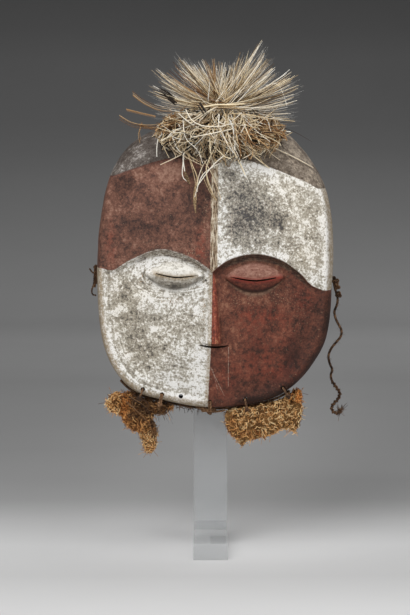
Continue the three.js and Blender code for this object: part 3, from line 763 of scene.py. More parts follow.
def addBore(x, z, y=bores["y"], length=bores["length"], alongX=False):
    turn = (0, math.radians(90), 0) if alongX else (math.radians(90), 0, 0)
    bpy.ops.mesh.primitive_cylinder_add(vertices=20, radius=rimHoles["diameter"] / 2 * mm, depth=length * mm,
                                        location=(x * mm, y * mm, z * mm), rotation=turn)
    bpy.ops.object.transform_apply(location=True, rotation=True, scale=True)
    return bpy.context.object


def addSlitCutter(line, width, surface, depth):
    centre, half = (line[0][0] + line[-1][0]) / 2, (line[-1][0] - line[0][0]) / 2
    bore = addBore(centre, line[1][1])
    places = placesOf(bore) / mm
    turn = np.arctan2(places[:, 2] - line[1][1], places[:, 0] - centre)
    x = centre + half * np.cos(turn)
    z = heightOn(throughPoints(line), x) + width / 2 * np.sin(turn)
    y = np.where(places[:, 1] > bores["y"], surface + depth, bores["cutterY"])
    setPlaces(bore, np.column_stack([x, y, z]) * mm)
    return bore


def cutHoles(mask, cutterShadeLook):
    holes = [point + inward * rimHoles["inward"] for point, inward in map(rimPlace, rimHoles["x"])]
    cutters = [addBore(*hole) for hole in [*holes, rimHoles["empty"]]]
    cutters += [addBore(tie["wallX"], tie["z"], tie["holeY"], bores["wallLength"], True) for tie in sideTies]
    for eye in eyeShapes:
        lid = float(faceDepth(eye["x"], eye["z"])) + 0.75 * maskCarving["browStep"] - maskCarving["lidHeight"]
        cutters.append(addSlitCutter(eye["slit"], eye["slitWidth"], lid, slitDepth))
    lips = float(faceDepth(*mouthCut["line"][1])) + 1
    cutters.append(addSlitCutter(mouthCut["line"], mouthCut["width"], lips, mouthCut["depth"]))
    cutter = joinPieces("mask_cutters", cutters)
    giveMaterial(cutter, cutterShadeLook)
    applyModifier(mask, "BOOLEAN", operation="DIFFERENCE", solver="EXACT", object=cutter,
                  material_mode="TRANSFER")
    bpy.data.objects.remove(cutter)


# paint zones of the mask, as values on its points, and its painted wood

def storeValue(piece, name, values):
    attribute = piece.data.attributes.new(name, "FLOAT", "POINT")
    attribute.data.foreach_set("value", np.asarray(values, np.float32))


# Each patch: X, Z, half width, half height, strength
paintPatches = {
    "dirty": [
        (38, 392, 24, 22, 1.0), (34, 424, 18, 14, 0.75), (79, 388, 9, 12, 0.95), (60, 404, 18, 22, 0.45),
        (22, 446, 14, 12, 0.45), (98, 366, 14, 8, 0.3), (50, 364, 40, 8, 0.2),
        (-98, 306, 12, 10, 0.5), (-88, 278, 13, 18, 0.5), (-68, 242, 14, 12, 0.5), (-84, 250, 14, 22, 0.35),
        (-104, 284, 12, 34, 0.15), (-100, 326, 16, 10, 0.15),
        (-40, 268, 20, 12, 0.22), (-40, 316, 12, 4, 1.0), (-76, 326, 2.2, 8, 0.8), (-20, 262, 10, 16, 0.2),
        (-60, 276, 12, 6, 0.3), (-30, 222, 9, 10, 0.25), (-44, 232, 10, 14, 0.25),
    ],
    "washed": [
        (100, 400, 36, 46, 0.9), (110, 345, 22, 22, 0.8), (-98, 290, 24, 44, 0.9), (-72, 238, 30, 26, 0.8),
        (-40, 270, 34, 22, 0.5), (-20, 215, 20, 12, 0.15), (-60, 312, 26, 14, 0.5), (64, 430, 30, 12, 0.4),
    ],
    "whitest": [
        (40, 359, 34, 4, 0.1), (72, 366, 18, 6, 0.1), (30, 450, 20, 7, 0.6), (12, 376, 5, 30, 0.5),
        (12, 420, 5, 26, 0.4), (-12, 212, 13, 30, 1.0), (-34, 222, 10, 20, 0.4), (-26, 186, 26, 8, 0.8),
        (-14, 286, 7, 12, 0.7), (-72, 300, 12, 10, 0.6), (-56, 266, 12, 5, 0.6), (-50, 346, 28, 4, 0.9),
        (-20, 338, 10, 8, 0.8), (-62, 232, 6, 5, 0.3), (-84, 334, 14, 7, 0.6), (-44, 336, 20, 4, 0.5),
    ],
    "ochre": [
        (-79, 324, 4, 7, 1.0), (-45, 299, 20, 4, 0.8), (-8, 292, 3, 36, 0.8), (-70, 344, 10, 4, 0.3),
        (36, 300, 16, 5, 0.75), (80, 304, 22, 9, 0.6), (96, 290, 14, 8, 0.3), (110, 360, 26, 40, 0.25),
        (-6, 390, 3, 40, 0.8), (-112, 330, 8, 30, 0.4), (-22, 356, 18, 8, 0.8), (-60, 364, 24, 4, 0.5),
        (-62, 333, 12, 3, 1.0), (60, 280, 60, 40, 0.15),
    ],
    # soot marks; those along the right rim and the chin's right edge are painted shade
    "sootAndPaintedShade": [
        (-96, 432, 10, 8, 0.5), (-70, 376, 34, 22, 0.25), (-14, 428, 14, 30, 0.7), (-40, 404, 22, 14, 0.4),
        (-76, 396, 26, 20, 0.15), (94, 240, 8, 20, 1.0), (88, 222, 7, 12, 0.8), (108, 262, 12, 36, 0.55),
        (118, 226, 24, 14, 0.75), (88, 198, 34, 12, 0.85), (50, 184, 38, 8, 0.75), (58, 264, 14, 24, 0.25),
        (128, 300, 8, 50, 0.75), (112, 320, 14, 10, 0.6), (28, 318, 6, 20, 0.3), (-60, 352, 30, 6, 0.4),
    ],
    "brightRed": [
        (-10, 362, 7, 20, 0.6), (-20, 352, 14, 7, 0.4), (-114, 360, 6, 30, 0.4), (108, 304, 12, 20, 0.5),
        (60, 282, 26, 10, 0.5), (76, 262, 30, 26, 0.35), (80, 216, 26, 16, 0.3), (14, 200, 14, 20, 0.4),
        (50, 224, 40, 18, 0.4), (40, 270, 16, 22, 0.3),
    ],
    "scuffed": [
        (-82, 467, 10, 8, 0.9), (-58, 482, 10, 6, 0.2), (84, 470, 22, 10, 0.4),
        (-46, 446, 14, 9, 0.9), (-62, 442, 30, 10, 0.5), (-98, 446, 16, 8, 0.5), (-116, 410, 5, 40, 0.7),
        (20, 316, 12, 30, 0.6), (30, 266, 16, 22, 0.4), (52, 300, 30, 6, 0.6), (86, 330, 20, 12, 0.5),
        (-50, 362, 40, 5, 0.35), (14, 230, 8, 18, 0.5), (128, 250, 6, 30, 0.5), (44, 214, 16, 8, 0.3),
        (-70, 428, 20, 12, 0.3), (-30, 396, 16, 16, 0.25),
    ],
}
# Scratches down to the pale ground: X and Z of both ends, half width
paintScratches = [
    ((20.6, 246), (20.4, 199), 0.26), ((-2, 226), (16, 188), 0.24), ((2, 220), (8, 196), 0.2),
    ((24, 400), (24, 366), 0.5), ((25, 401), (42, 406), 0.45), ((68, 412), (67, 380), 0.4),
    ((52, 420), (54, 396), 0.35),
]
# Strips of paint along the rim or the arris: zone, strength, side, what they follow, middle, half width
paintStrips = [
    ("whitest", 0.5, "lowLeft", "fromEdge", 10.5, 2.4), ("whitest", 0.7, "topRight", "fromEdge", 10, 3),
    ("whitest", 0.9, "farRight", "aboveArris", -3.5, 3.2), ("dirty", 0.35, "lowLeft", "fromEdge", 15, 2),
    ("dirty", 0.7, "lowLeft", "fromEdge", 1, 1.8),
]
zoneNames = ("sideOfNose", "aboveBrow", "aboveArris", "fromEdge", "aroundRim", "behindFace", "browBand",
             "lidPaintedShade", "lidPaintedLight", "lipGlow", "lidRim", "lidDeep", "eyeReach", "eyeTurn", "noseFlank",
             *paintPatches)
# Display shades of each paint from worn to full; the lid ramps are painted light and shade, and the brow
# ramps carry painted shade under the brow step
paintRamps = {
    "white": [(0.00, (74, 70, 66)), (0.12, (112, 107, 100)), (0.26, (154, 147, 134)), (0.45, (180, 173, 160)),
              (0.57, (206, 201, 190)), (0.68, (249, 247, 243))],
    "redAbove": [(0.14, (54, 38, 33)), (0.34, (84, 57, 48)), (0.50, (108, 73, 60)), (0.66, (128, 89, 74)),
                 (0.86, (156, 120, 103))],
    "redBelow": [(0.14, (50, 31, 25)), (0.34, (77, 46, 36)), (0.50, (98, 58, 45)), (0.66, (115, 69, 54)),
                 (0.86, (146, 102, 80))],
    "bare": [(0.28, (80, 60, 44)), (0.42, (150, 128, 103)), (0.56, (184, 166, 142)), (0.74, (226, 216, 196))],
    "crownLeft": [(0.18, (44, 36, 32)), (0.44, (74, 65, 59)), (0.66, (96, 88, 82)), (0.96, (166, 160, 154))],
    "crownRight": [(0.18, (66, 54, 45)), (0.40, (106, 94, 82)), (0.58, (132, 120, 107)),
                   (0.80, (176, 162, 144))],
    "browLeft": [(0.14, (60, 51, 44)), (0.36, (112, 100, 88)), (0.54, (152, 141, 126)),
                 (0.74, (210, 204, 192))],
    "browRight": [(0.16, (34, 24, 20)), (0.40, (68, 52, 43)), (0.58, (94, 75, 62)), (0.80, (128, 105, 84))],
    "ochre": [(0.30, (116, 78, 42)), (0.55, (168, 132, 84)), (0.80, (206, 186, 148))],
    "lidPaintedLight": [(0.20, (108, 62, 50)), (0.44, (140, 98, 84)), (0.64, (158, 118, 102)),
                 (0.90, (180, 148, 132))],
    "lidGreyShadeAndDirt": [(0.12, (84, 79, 72)), (0.34, (132, 125, 113)), (0.54, (160, 152, 139)),
                (0.76, (204, 199, 188))],
    "lidPaintedShade": [(0.20, (54, 28, 22)), (0.48, (92, 46, 34)), (0.76, (122, 68, 52))],
    "noseFlank": [(0.26, (80, 36, 28)), (0.46, (132, 66, 50)), (0.62, (158, 82, 62)),
                  (0.82, (186, 146, 106))],
}


def tone(shades):
    return tuple(((shade / 255 + 0.055) / 1.055) ** 2.4 for shade in shades)


def patchSum(x, z, patches):
    total = np.zeros_like(x)
    for px, pz, halfWidth, halfHeight, strength in patches:
        away = ((x - px) / halfWidth) ** 2 + ((z - pz) / halfHeight) ** 2
        total += strength * np.exp(-away ** 1.3)
    return np.clip(total, 0, 1.2)


def hump(value, centre, half):
    return np.exp(-((value - centre) / half) ** 2)


def storePaintZones(mask):
    x, y, z = (placesOf(mask) / mm).T
    ends = {side: borderAt(side, [maskShape[end]])[0]
            for side, end in (("left", "browLeftEnd"), ("right", "browRightEnd"))}
    brow = np.vstack([throughPoints([ends["left"], *maskShape["browLeft"]]),
                      throughPoints([*maskShape["browRight"], ends["right"]])[1:]])
    axis = np.array([(-3, maskCarving["chinEnd"]), *maskShape["noseAxis"][::-1], maskShape["keelAxis"][0]])
    side = x - heightOn(axis[:, ::-1], z)
    above, aboveArris = z - heightOn(brow, x), z - heightOn(arrisLine, x)
    spokes = outlineLine - middle
    reach = np.interp(np.arctan2(z - middle[1], x - middle[0]), np.arctan2(spokes[:, 1], spokes[:, 0]),
                      np.linalg.norm(spokes, axis=1), period=2 * math.pi)
    fromEdge = reach - np.hypot(x - middle[0], z - middle[1])
    values = {name: patchSum(x, z, patches) for name, patches in paintPatches.items()}
    values.update(sideOfNose=side, aboveBrow=above, aboveArris=aboveArris, fromEdge=fromEdge,
                  behindFace=y - faceDepth(x, z),
                  aroundRim=140 * np.arctan2(x - middle[0], middle[1] - z))

    # paint follows the rim, the arris and the brow in strips
    sides = {"lowLeft": smooth(-x, 0, 20) * smooth(-z, -352, -330), "farRight": smooth(x, 20, 50),
             "topRight": smooth(x, 60, 100) * smooth(above, 0, 4)}
    for zone, strength, where, followed, centre, half in paintStrips:
        values[zone] += strength * sides[where] * hump(values[followed], centre, half)
    edgeStain = np.maximum(0.7 * sides["lowLeft"], 0.9 * sides["topRight"])
    values["ochre"] += smooth(-fromEdge, -4.5, -1.5) * edgeStain
    # darker along the right rim below the brow: painted shade on the side turned from the light
    values["sootAndPaintedShade"] += 0.8 * smooth(x, 20, 60) * smooth(-above, 0, 20) * smooth(-fromEdge, -11, -2)

    # band under the brow step, coloured darker as painted shade under the overhang, over the band's own paint
    band = smooth(-above, -0.4, 0.4) * smooth(above, -9.5, -6.5)
    reachAcross = np.where(x < 2, smooth(x, -100, -70) * smooth(-x, -1, 12),
                           smooth(x, 6, 22) * smooth(-x, -122, -98))
    values["browBand"] = band * reachAcross
    eye = eyeShapes[0]
    eyeX, eyeZ = (x - eye["x"]) / eye["half"], (z - eye["z"]) / eye["rise"]
    values["eyeReach"] = np.hypot(eyeX, eyeZ) * eye["rise"]
    values["eyeTurn"] = np.arctan2(eyeX, -eyeZ) * eye["half"]
    for eye in eyeShapes:
        lens, (start, _), (end, _) = lensOf(eye, x), eye["slit"][0], eye["slit"][2]
        level, inside = (z - eye["z"]) / np.maximum(lens, 1), smooth(lens, 0, 2)
        off = z - heightOn(throughPoints(eye["slit"]), x)
        within = smooth(x, start - 3, start + 6) * smooth(-x, -end - 3, -end + 6)
        # the upper lid is painted lit and the lower lid painted shaded, with a painted shadow in the crease
        # along the lens's lower edge
        lids = {"lidPaintedShade": inside * smooth(-off, 0, 3) * smooth(level, -1.25, -1.05),
                "lidPaintedLight": inside * smooth(off, -0.5, 1.5) * smooth(-level, -1.05, -0.9),
                "lipGlow": hump(off, 0, 2.8) * within,
                "lidDeep": inside * hump(level, -0.97, 0.2),
                "lidRim": inside * hump(np.abs(level), 1.16, 0.13) * (0.35 + 0.65 * (level < 0))}
        for name, share in lids.items():
            values[name] = np.maximum(values.get(name, 0), share)
    top, bottom = maskCarving["noseTop"], maskCarving["noseBottom"]
    down = np.clip((top - z) / (top - bottom), 0, 1)
    flank = smooth(side, 0.3, 1.2) * smooth(-side, -(4 + 8.5 * down), -(1.5 + 8.0 * down))
    values["noseFlank"] = flank * smooth(z, bottom - 3, bottom) * smooth(-z, -334, -326)
    for name in zoneNames:
        storeValue(mask, name, values[name])


# Noises of the painted wood: its coordinates, scale, detail, roughness and distortion
woodNoises = {
    "fine": ("all", 1300, 3, 0.7), "fleck": ("all", 420, 7, 0.74), "mottle": ("all", 150, 6, 0.70),
    "broad": ("all", 48, 4, 0.6), "flake": ("all", 235, 4, 0.62, 1.2), "ragged": ("all", 260, 5, 0.65),
    "redSpeck": ("all", 760, 2, 0.5), "whiteSpeck": ("all", 820, 3, 0.6), "stain": ("all", 700, 2, 0.5),
    "grain": ("upright", 620, 5, 0.66), "across": ("level", 620, 5, 0.66),
    "stroke": ("roundRim", 460, 5, 0.66), "ring": ("roundEye", 640, 4, 0.6),
}
# Weight of each noise and zone in the tone of each surface
toneWeights = {
    "red": {"fleck": 0.9, "flake": 0.9, "mottle": 1.2, "broad": 0.9, "sootAndPaintedShade": -0.24, "scuffed": 0.20},
    "white": {"fleck": 1.6, "flake": 1.3, "mottle": 1.3, "broad": 0.7, "brushed": 0.6, "dirty": -0.46,
              "whitest": 0.19},
    "noseFlank": {"grain": 1.2, "fleck": 1.2, "mottle": 0.8},
    "bare": {"grain": 2.2, "fleck": 0.8, "broad": 0.5},
    "brow": {"fleck": 1.6, "across": 1.6, "mottle": 0.6},
    "lid": {"across": 0.8, "fleck": 1.2, "mottle": 1.0},
    "crown": {"fleck": 1.3, "mottle": 1.3, "broad": 0.9, "stroke": 0.5, "scuffed": 0.26},
    "height": {"fleck": 0.5, "grain": 0.2, "fine": 0.15, "relief": 0.7},
}
# Display shades of single marks, some to the left and right of the nose; the lid marks are painted light and
# shade, the soot mark also stands for painted shade along the right rim, and the arris mark is partly a
# painted highlight
markShades = {
    "brightRed": (140, 62, 46), "cinder": (46, 37, 34), "redSpeck": (176, 146, 118),
    "whiteSpeck": (92, 82, 70), "dirt": (74, 50, 42), "smoke": (82, 80, 81), "redStain": (178, 150, 124),
    "tan": (162, 143, 116), "scratch": (206, 190, 172), "lidLeft": (232, 228, 219), "arris": (92, 44, 28),
    "lidDeep": ((90, 84, 77), (38, 25, 21)), "lidRim": ((232, 229, 222), (150, 118, 96)),
    "lipGlow": ((150, 124, 84), (136, 44, 34)),
}
woodFinish = {"whiteLift": 0.055, "washedTint": (1.0, 0.97, 0.915), "raggedness": 5, "strokeLength": 0.09}


def toned(value, name):
    return rampOf(value, [(at, tone(shades)) for at, shades in paintRamps[name]])


def scratchOf(axes, start, end, halfWidth):
    (x0, z0), (x1, z1) = start, end
    length = math.hypot(x1 - x0, z1 - z0)
    alongX, alongZ = (x1 - x0) / length, (z1 - z0) / length
    fromX, fromZ = minus(axes[0], x0 * mm), minus(axes[2], z0 * mm)
    along = calc("MULTIPLY_ADD", fromX, alongX, product(fromZ, alongZ))
    away = calc("ABSOLUTE", calc("MULTIPLY_ADD", fromX, -alongZ, product(fromZ, alongX)))
    within = calc("LESS_THAN", calc("ABSOLUTE", minus(along, length * mm / 2)), length * mm / 2)
    return product(within, rangeOf(away, halfWidth * mm * 0.5, halfWidth * mm * 1.6, 1, 0))


def makePaintedWood():
    look = newLook("painted_wood")
    part = {name: attributeOf(name) for name in zoneNames}
    places = {"all": objectPlace(), "upright": objectPlace((1, 1, 0.10)), "level": objectPlace((0.14, 1, 1))}
    axes = addNode("ShaderNodeSeparateXYZ", {"Vector": places["all"]}).outputs
    for name, across, along in (("roundRim", "fromEdge", "aroundRim"), ("roundEye", "eyeReach", "eyeTurn")):
        places[name] = addNode("ShaderNodeCombineXYZ", {
            "X": product(part[across], mm),
            "Y": product(part[along], woodFinish["strokeLength"] * mm)}).outputs[0]
    part.update((name, noiseOf(places[where], *ways)) for name, (where, *ways) in woodNoises.items())
    ragged = product(minus(part["ragged"], 0.5), woodFinish["raggedness"])
    colour = None

    def weighted(name):
        noises = sum(weight for key, weight in toneWeights[name].items() if key in woodNoises)
        return sumOf(0.5 - 0.5 * noises, *((part[key], weight) for key, weight in toneWeights[name].items()))

    def between(name, *limits):
        return rangeOf(part[name], *limits)

    def pastEdge(name, share, *limits):
        return rangeOf(calc("MULTIPLY_ADD", ragged, share, part[name]), *limits)

    def lay(paint, *shares):
        nonlocal colour
        if paint in markShades:
            paint = markShades[paint]
            paint = tone(paint) if isinstance(paint[0], int) else mixColours(onRight, *map(tone, paint))
        colour = mixColours(product(*shares), colour, paint)

    onRight = pastEdge("sideOfNose", 0.35, -0.3, 0.3)
    onForehead = pastEdge("aboveBrow", 0.3, -0.4, 0.4)
    onLeft, below = minus(1, onRight), minus(1, onForehead)
    white = calc("ABSOLUTE", minus(calc("ADD", onRight, onForehead), 1))

    # red paint: mottled, darkened by soot and by painted shade along the right rim, and scuffed
    redTone = weighted("red")
    colour = mixColours(onForehead, toned(redTone, "redBelow"), toned(redTone, "redAbove"))
    lay("brightRed", part["brightRed"], between("mottle", 0.42, 0.62))
    lay("cinder", part["sootAndPaintedShade"], between("mottle", 0.50, 0.64), 0.8)
    lay("redSpeck", between("redSpeck", 0.69, 0.74, 0, 0.7))
    lay(toned(weighted("noseFlank"), "noseFlank"), part["noseFlank"])
    red = colour

    # white paint: thick flecks, rubbed to grey and to the dark ground
    ring = product(minus(part["ring"], 0.5), between("eyeReach", 24, 32, 2.6, 0))
    part["brushed"] = product(calc("ADD", minus(part["stroke"], 0.5), ring), below)
    whiteTone = calc("ADD", weighted("white"), woodFinish["whiteLift"])
    colour = mixColours(part["washed"], toned(whiteTone, "white"), woodFinish["washedTint"], "MULTIPLY")
    lay("whiteSpeck", between("whiteSpeck", 0.60, 0.68), between("mottle", 0.38, 0.56, 0.3, 1), 0.65)
    lay("dirt", part["dirty"], between("mottle", 0.54, 0.64), 0.4)
    lay("smoke", part["dirty"], onForehead, between("fleck", 0.47, 0.53, 1.0, 0.05),
        between("mottle", 0.44, 0.54, 0.8, 0.25))
    colour = mixColours(white, red, colour)

    # ochre stains, the tan strips along the rim and the nose, scratches
    stain = mixColours(white, tone(markShades["redStain"]), toned(part["mottle"], "ochre"))
    lay(stain, part["ochre"], between("stain", calc("MULTIPLY_ADD", white, -0.06, 0.62), 0.67))
    besideNose = product(pastEdge("sideOfNose", 0.7, -5.0, -2.6), below)
    rimTan = calc("MAXIMUM", pastEdge("fromEdge", 0.8, 6.5, 9.5, 1, 0), besideNose)
    lay("tan", rimTan, white, between("fleck", 0.42, 0.60, 0.95, 0.35))
    for scratch in paintScratches:
        lay("scratch", scratchOf(axes, *scratch), between("fleck", 0.42, 0.54, 0.05, 0.55))

    # bare ridge on the forehead, brow bands with painted shade under the brow step, and eyes with painted
    # light on the upper lids and painted shade on the lower lids
    lay(toned(weighted("bare"), "bare"), pastEdge("sideOfNose", 0.5, -2.8, -1.8),
        pastEdge("sideOfNose", 0.5, 5.0, 6.6, 1, 0), onForehead)
    browTone, lidTone = weighted("brow"), weighted("lid")
    # brow band: painted shade under the brow step, dark brown on the right and grey on the left
    lay(mixColours(onRight, toned(browTone, "browLeft"), toned(browTone, "browRight")),
        part["browBand"], between("flake", 0.38, 0.48, 0.3, 1))
    # painted light and shade on the lids: lit above the slit, shaded below it, a painted shadow in the lower
    # crease, and greyer painted shade with some dirt on the white left lid
    lay(toned(lidTone, "lidPaintedShade"), part["lidPaintedShade"], onRight, 0.92)
    lay(toned(lidTone, "lidPaintedLight"), part["lidPaintedLight"], onRight, 0.9)
    lay(toned(calc("MULTIPLY_ADD", part["dirty"], -0.32, lidTone), "lidGreyShadeAndDirt"), part["lidPaintedShade"], onLeft, 0.8)
    lay("lidDeep", part["lidDeep"], rangeOf(onRight, 0, 1, 0.35, 0.85))
    lay("lidLeft", part["lidPaintedLight"], onLeft, rangeOf(lidTone, 0.3, 0.6, 0.3, 0.9))
    lay("lidRim", part["lidRim"], rangeOf(lidTone, 0.35, 0.6, 0.3, 0.85))
    lay("lipGlow", part["lipGlow"], between("fleck", 0.38, 0.56, 0.3, 0.9))

    # crown and side walls: dark matte wood, browner to the right
    crownTone = weighted("crown")
    crown = mixColours(between("sideOfNose", -20, 30), toned(crownTone, "crownLeft"),
                       toned(crownTone, "crownRight"))
    onCrown = pastEdge("aboveArris", 0.15, -0.2, 0.5)
    lay(crown, onCrown)
    # reddish line just above the arris on the left crown: worn edge with a painted highlight along it
    lay("arris", onCrown, between("aboveArris", 1.0, 2.0, 0.75, 0), onLeft)
    lay(crown, pastEdge("behindFace", 1.5, 22, 34))

    part["relief"] = product(white, minus(whiteTone, 0.5))
    surfaceOf(colour, between("mottle", 0.35, 0.65, 0.62, 0.82), weighted("height"), 0.6, 0.0007,
              Specular_IOR_Level=0.28)
    return look


def makeHollowWood():
    look = newLook("hollow_wood")
    grain, blotch = noiseOf(objectPlace((1, 1, 0.1)), 700), noiseOf(objectPlace(), 60, 5)
    colour = rampOf(sumOf(0, (grain, 0.45), (blotch, 0.55)), [
        (0.36, (0.028, 0.018, 0.012)), (0.5, (0.085, 0.052, 0.032)), (0.66, (0.19, 0.125, 0.078))])
    surfaceOf(colour, 0.75, grain, 0.5, 0.0006, Specular_IOR_Level=0.3)
    return look


# near-black walls of the eye and mouth slits and the rim holes: painted shade in the cuts
def makeCutShadeLook():
    look = newLook("cut_painted_shade")
    stops = [(0.3, (0.006, 0.005, 0.004)), (0.7, (0.035, 0.024, 0.018))]
    surfaceOf(rampOf(noiseOf(objectPlace(), 500, 3), stops), 0.9, Specular_IOR_Level=0.1)
    return look


def buildMask():
    shells = []
    for name, look, shell in (("mask_outer", makePaintedWood(), outerShell()),
                              ("mask_inner", makeHollowWood(), innerShell())):
        shells.append(joinPieces(name, shell))
        giveMaterial(shells[-1], look)
        inEditMode((bpy.ops.mesh.select_all, {"action": "SELECT"}),
                   (bpy.ops.mesh.remove_doubles, {"threshold": 0.00002}))
    mask = joinPieces("carved_mask", shells)
    inEditMode((bpy.ops.mesh.select_mode, {"type": "EDGE"}),
               (bpy.ops.mesh.select_all, {"action": "DESELECT"}),
               (bpy.ops.mesh.select_non_manifold, {
                   "extend": False, "use_wire": False, "use_boundary": True, "use_multi_face": False,
                   "use_non_contiguous": False, "use_verts": False}),
               (bpy.ops.mesh.bridge_edge_loops, {}),
               (bpy.ops.mesh.select_all, {"action": "SELECT"}),
               (bpy.ops.mesh.normals_make_consistent, {"inside": False}))
    cutHoles(mask, makeCutShadeLook())
    storePaintZones(mask)
    shadeSmooth(mask, 50)
    return finishPiece(mask, "painted_wood", "mask")


buildMask()
print("mask carved")


# surface of the mask's front, for what lies on it

crownLine = np.vstack([outlineSides["crownLeft"][::-1], outlineSides["crownRight"][1:]])
# Depth of the crown's front, and what stands for no mask at all
crownFront, beyondMask = -53, 60


def maskFront(x, z):
    arrisZ, crownZ = heightOn(arrisLine, x), heightOn(crownLine, x)
    share = np.clip((z - arrisZ) / np.maximum(crownZ - arrisZ, 1), 0, 1)
    slope = crownFront + (outlineDepth(crownZ) - crownFront) * (1 - np.cos(np.arcsin(share)))
    return np.where(z < arrisZ, faceDepth(x, z) - 1, np.where(z > crownZ + 1, beyondMask, slope))


def liftOff(route, clearance=1.0):
    front = maskFront(route[:, 0], route[:, 2]) - clearance
    onMask = front < beyondMask - clearance
    route[:, 1] = np.where(onMask, np.minimum(route[:, 1], front), route[:, 1])
    return route


# straw, coir and feather looks

def makeFibreLook(name, stops):
    look = newLook(name)
    along = noiseOf(objectPlace(), 700, 3)
    surfaceOf(rampOf(sumOf(-0.28, (strandShare(), 0.8), (along, 0.7)), stops), 0.7, along, 0.3, 0.0002,
              Specular_IOR_Level=0.3)
    return look


# beard bed: a curly fibre pattern whose grooves between the ridges are painted deep, painted shade between
# the fibres
def makeBedLook(name, deep, mid, pale):
    look = newLook(name)
    place = objectPlace()
    curls = calc("ABSOLUTE", minus(noiseOf(place, 420, 2, 0.5, 2.6), 0.5))
    ridges = rangeOf(curls, 0.0, 0.14, 1.0, 0.0)
    depth = sumOf(0, (ridges, 0.75), (noiseOf(place, 90, 3), 0.35))
    surfaceOf(rampOf(depth, [(0.25, deep), (0.62, mid), (0.98, pale)]), 0.85, ridges, 0.8, 0.0012,
              Specular_IOR_Level=0.2)
    return look


fibreStops = {
    "straw": [(0.02, (0.12, 0.070, 0.036)), (0.15, (0.42, 0.30, 0.17)), (0.34, (0.76, 0.62, 0.43)),
              (0.58, (0.95, 0.86, 0.69)), (0.84, (0.99, 0.96, 0.88))],
    "tangle": [(0.05, (0.05, 0.03, 0.016)), (0.22, (0.24, 0.155, 0.078)), (0.44, (0.62, 0.46, 0.26)),
               (0.72, (0.92, 0.79, 0.55))],
    "brown": [(0.1, (0.10, 0.045, 0.018)), (0.45, (0.36, 0.19, 0.075)), (0.85, (0.62, 0.42, 0.22))],
    "shaded": [(0.05, (0.05, 0.036, 0.024)), (0.35, (0.22, 0.165, 0.11)), (0.80, (0.52, 0.43, 0.31))],
    "hair": [(0.1, (0.32, 0.29, 0.25)), (0.6, (0.56, 0.53, 0.48)), (0.9, (0.72, 0.70, 0.66))],
    "dark": [(0.2, (0.010, 0.007, 0.005)), (0.7, (0.050, 0.033, 0.022))],
    "coir": [(0.08, (0.07, 0.024, 0.008)), (0.32, (0.32, 0.125, 0.036)), (0.62, (0.72, 0.34, 0.11)),
             (0.92, (0.97, 0.60, 0.25))],
    "umber": [(0.10, (0.035, 0.017, 0.009)), (0.45, (0.15, 0.070, 0.030)), (0.85, (0.34, 0.19, 0.085))],
    "gold": [(0.10, (0.09, 0.034, 0.010)), (0.28, (0.44, 0.20, 0.058)), (0.52, (0.90, 0.49, 0.18)),
             (0.84, (0.98, 0.78, 0.44))],
    "red": [(0.05, (0.14, 0.038, 0.008)), (0.4, (0.52, 0.18, 0.036)), (0.85, (0.78, 0.36, 0.11))],
}
fibreLooks = {name: makeFibreLook("fibre_" + name, stops) for name, stops in fibreStops.items()}
bedTones = {
    "coir_bed": ((0.014, 0.006, 0.003), (0.17, 0.070, 0.024), (0.44, 0.21, 0.075)),
    "gold_bed": ((0.020, 0.009, 0.004), (0.24, 0.115, 0.038), (0.60, 0.35, 0.13)),
}
fibreLooks.update((name, makeBedLook(name, *tones)) for name, tones in bedTones.items())


# the straw tuft on the crown

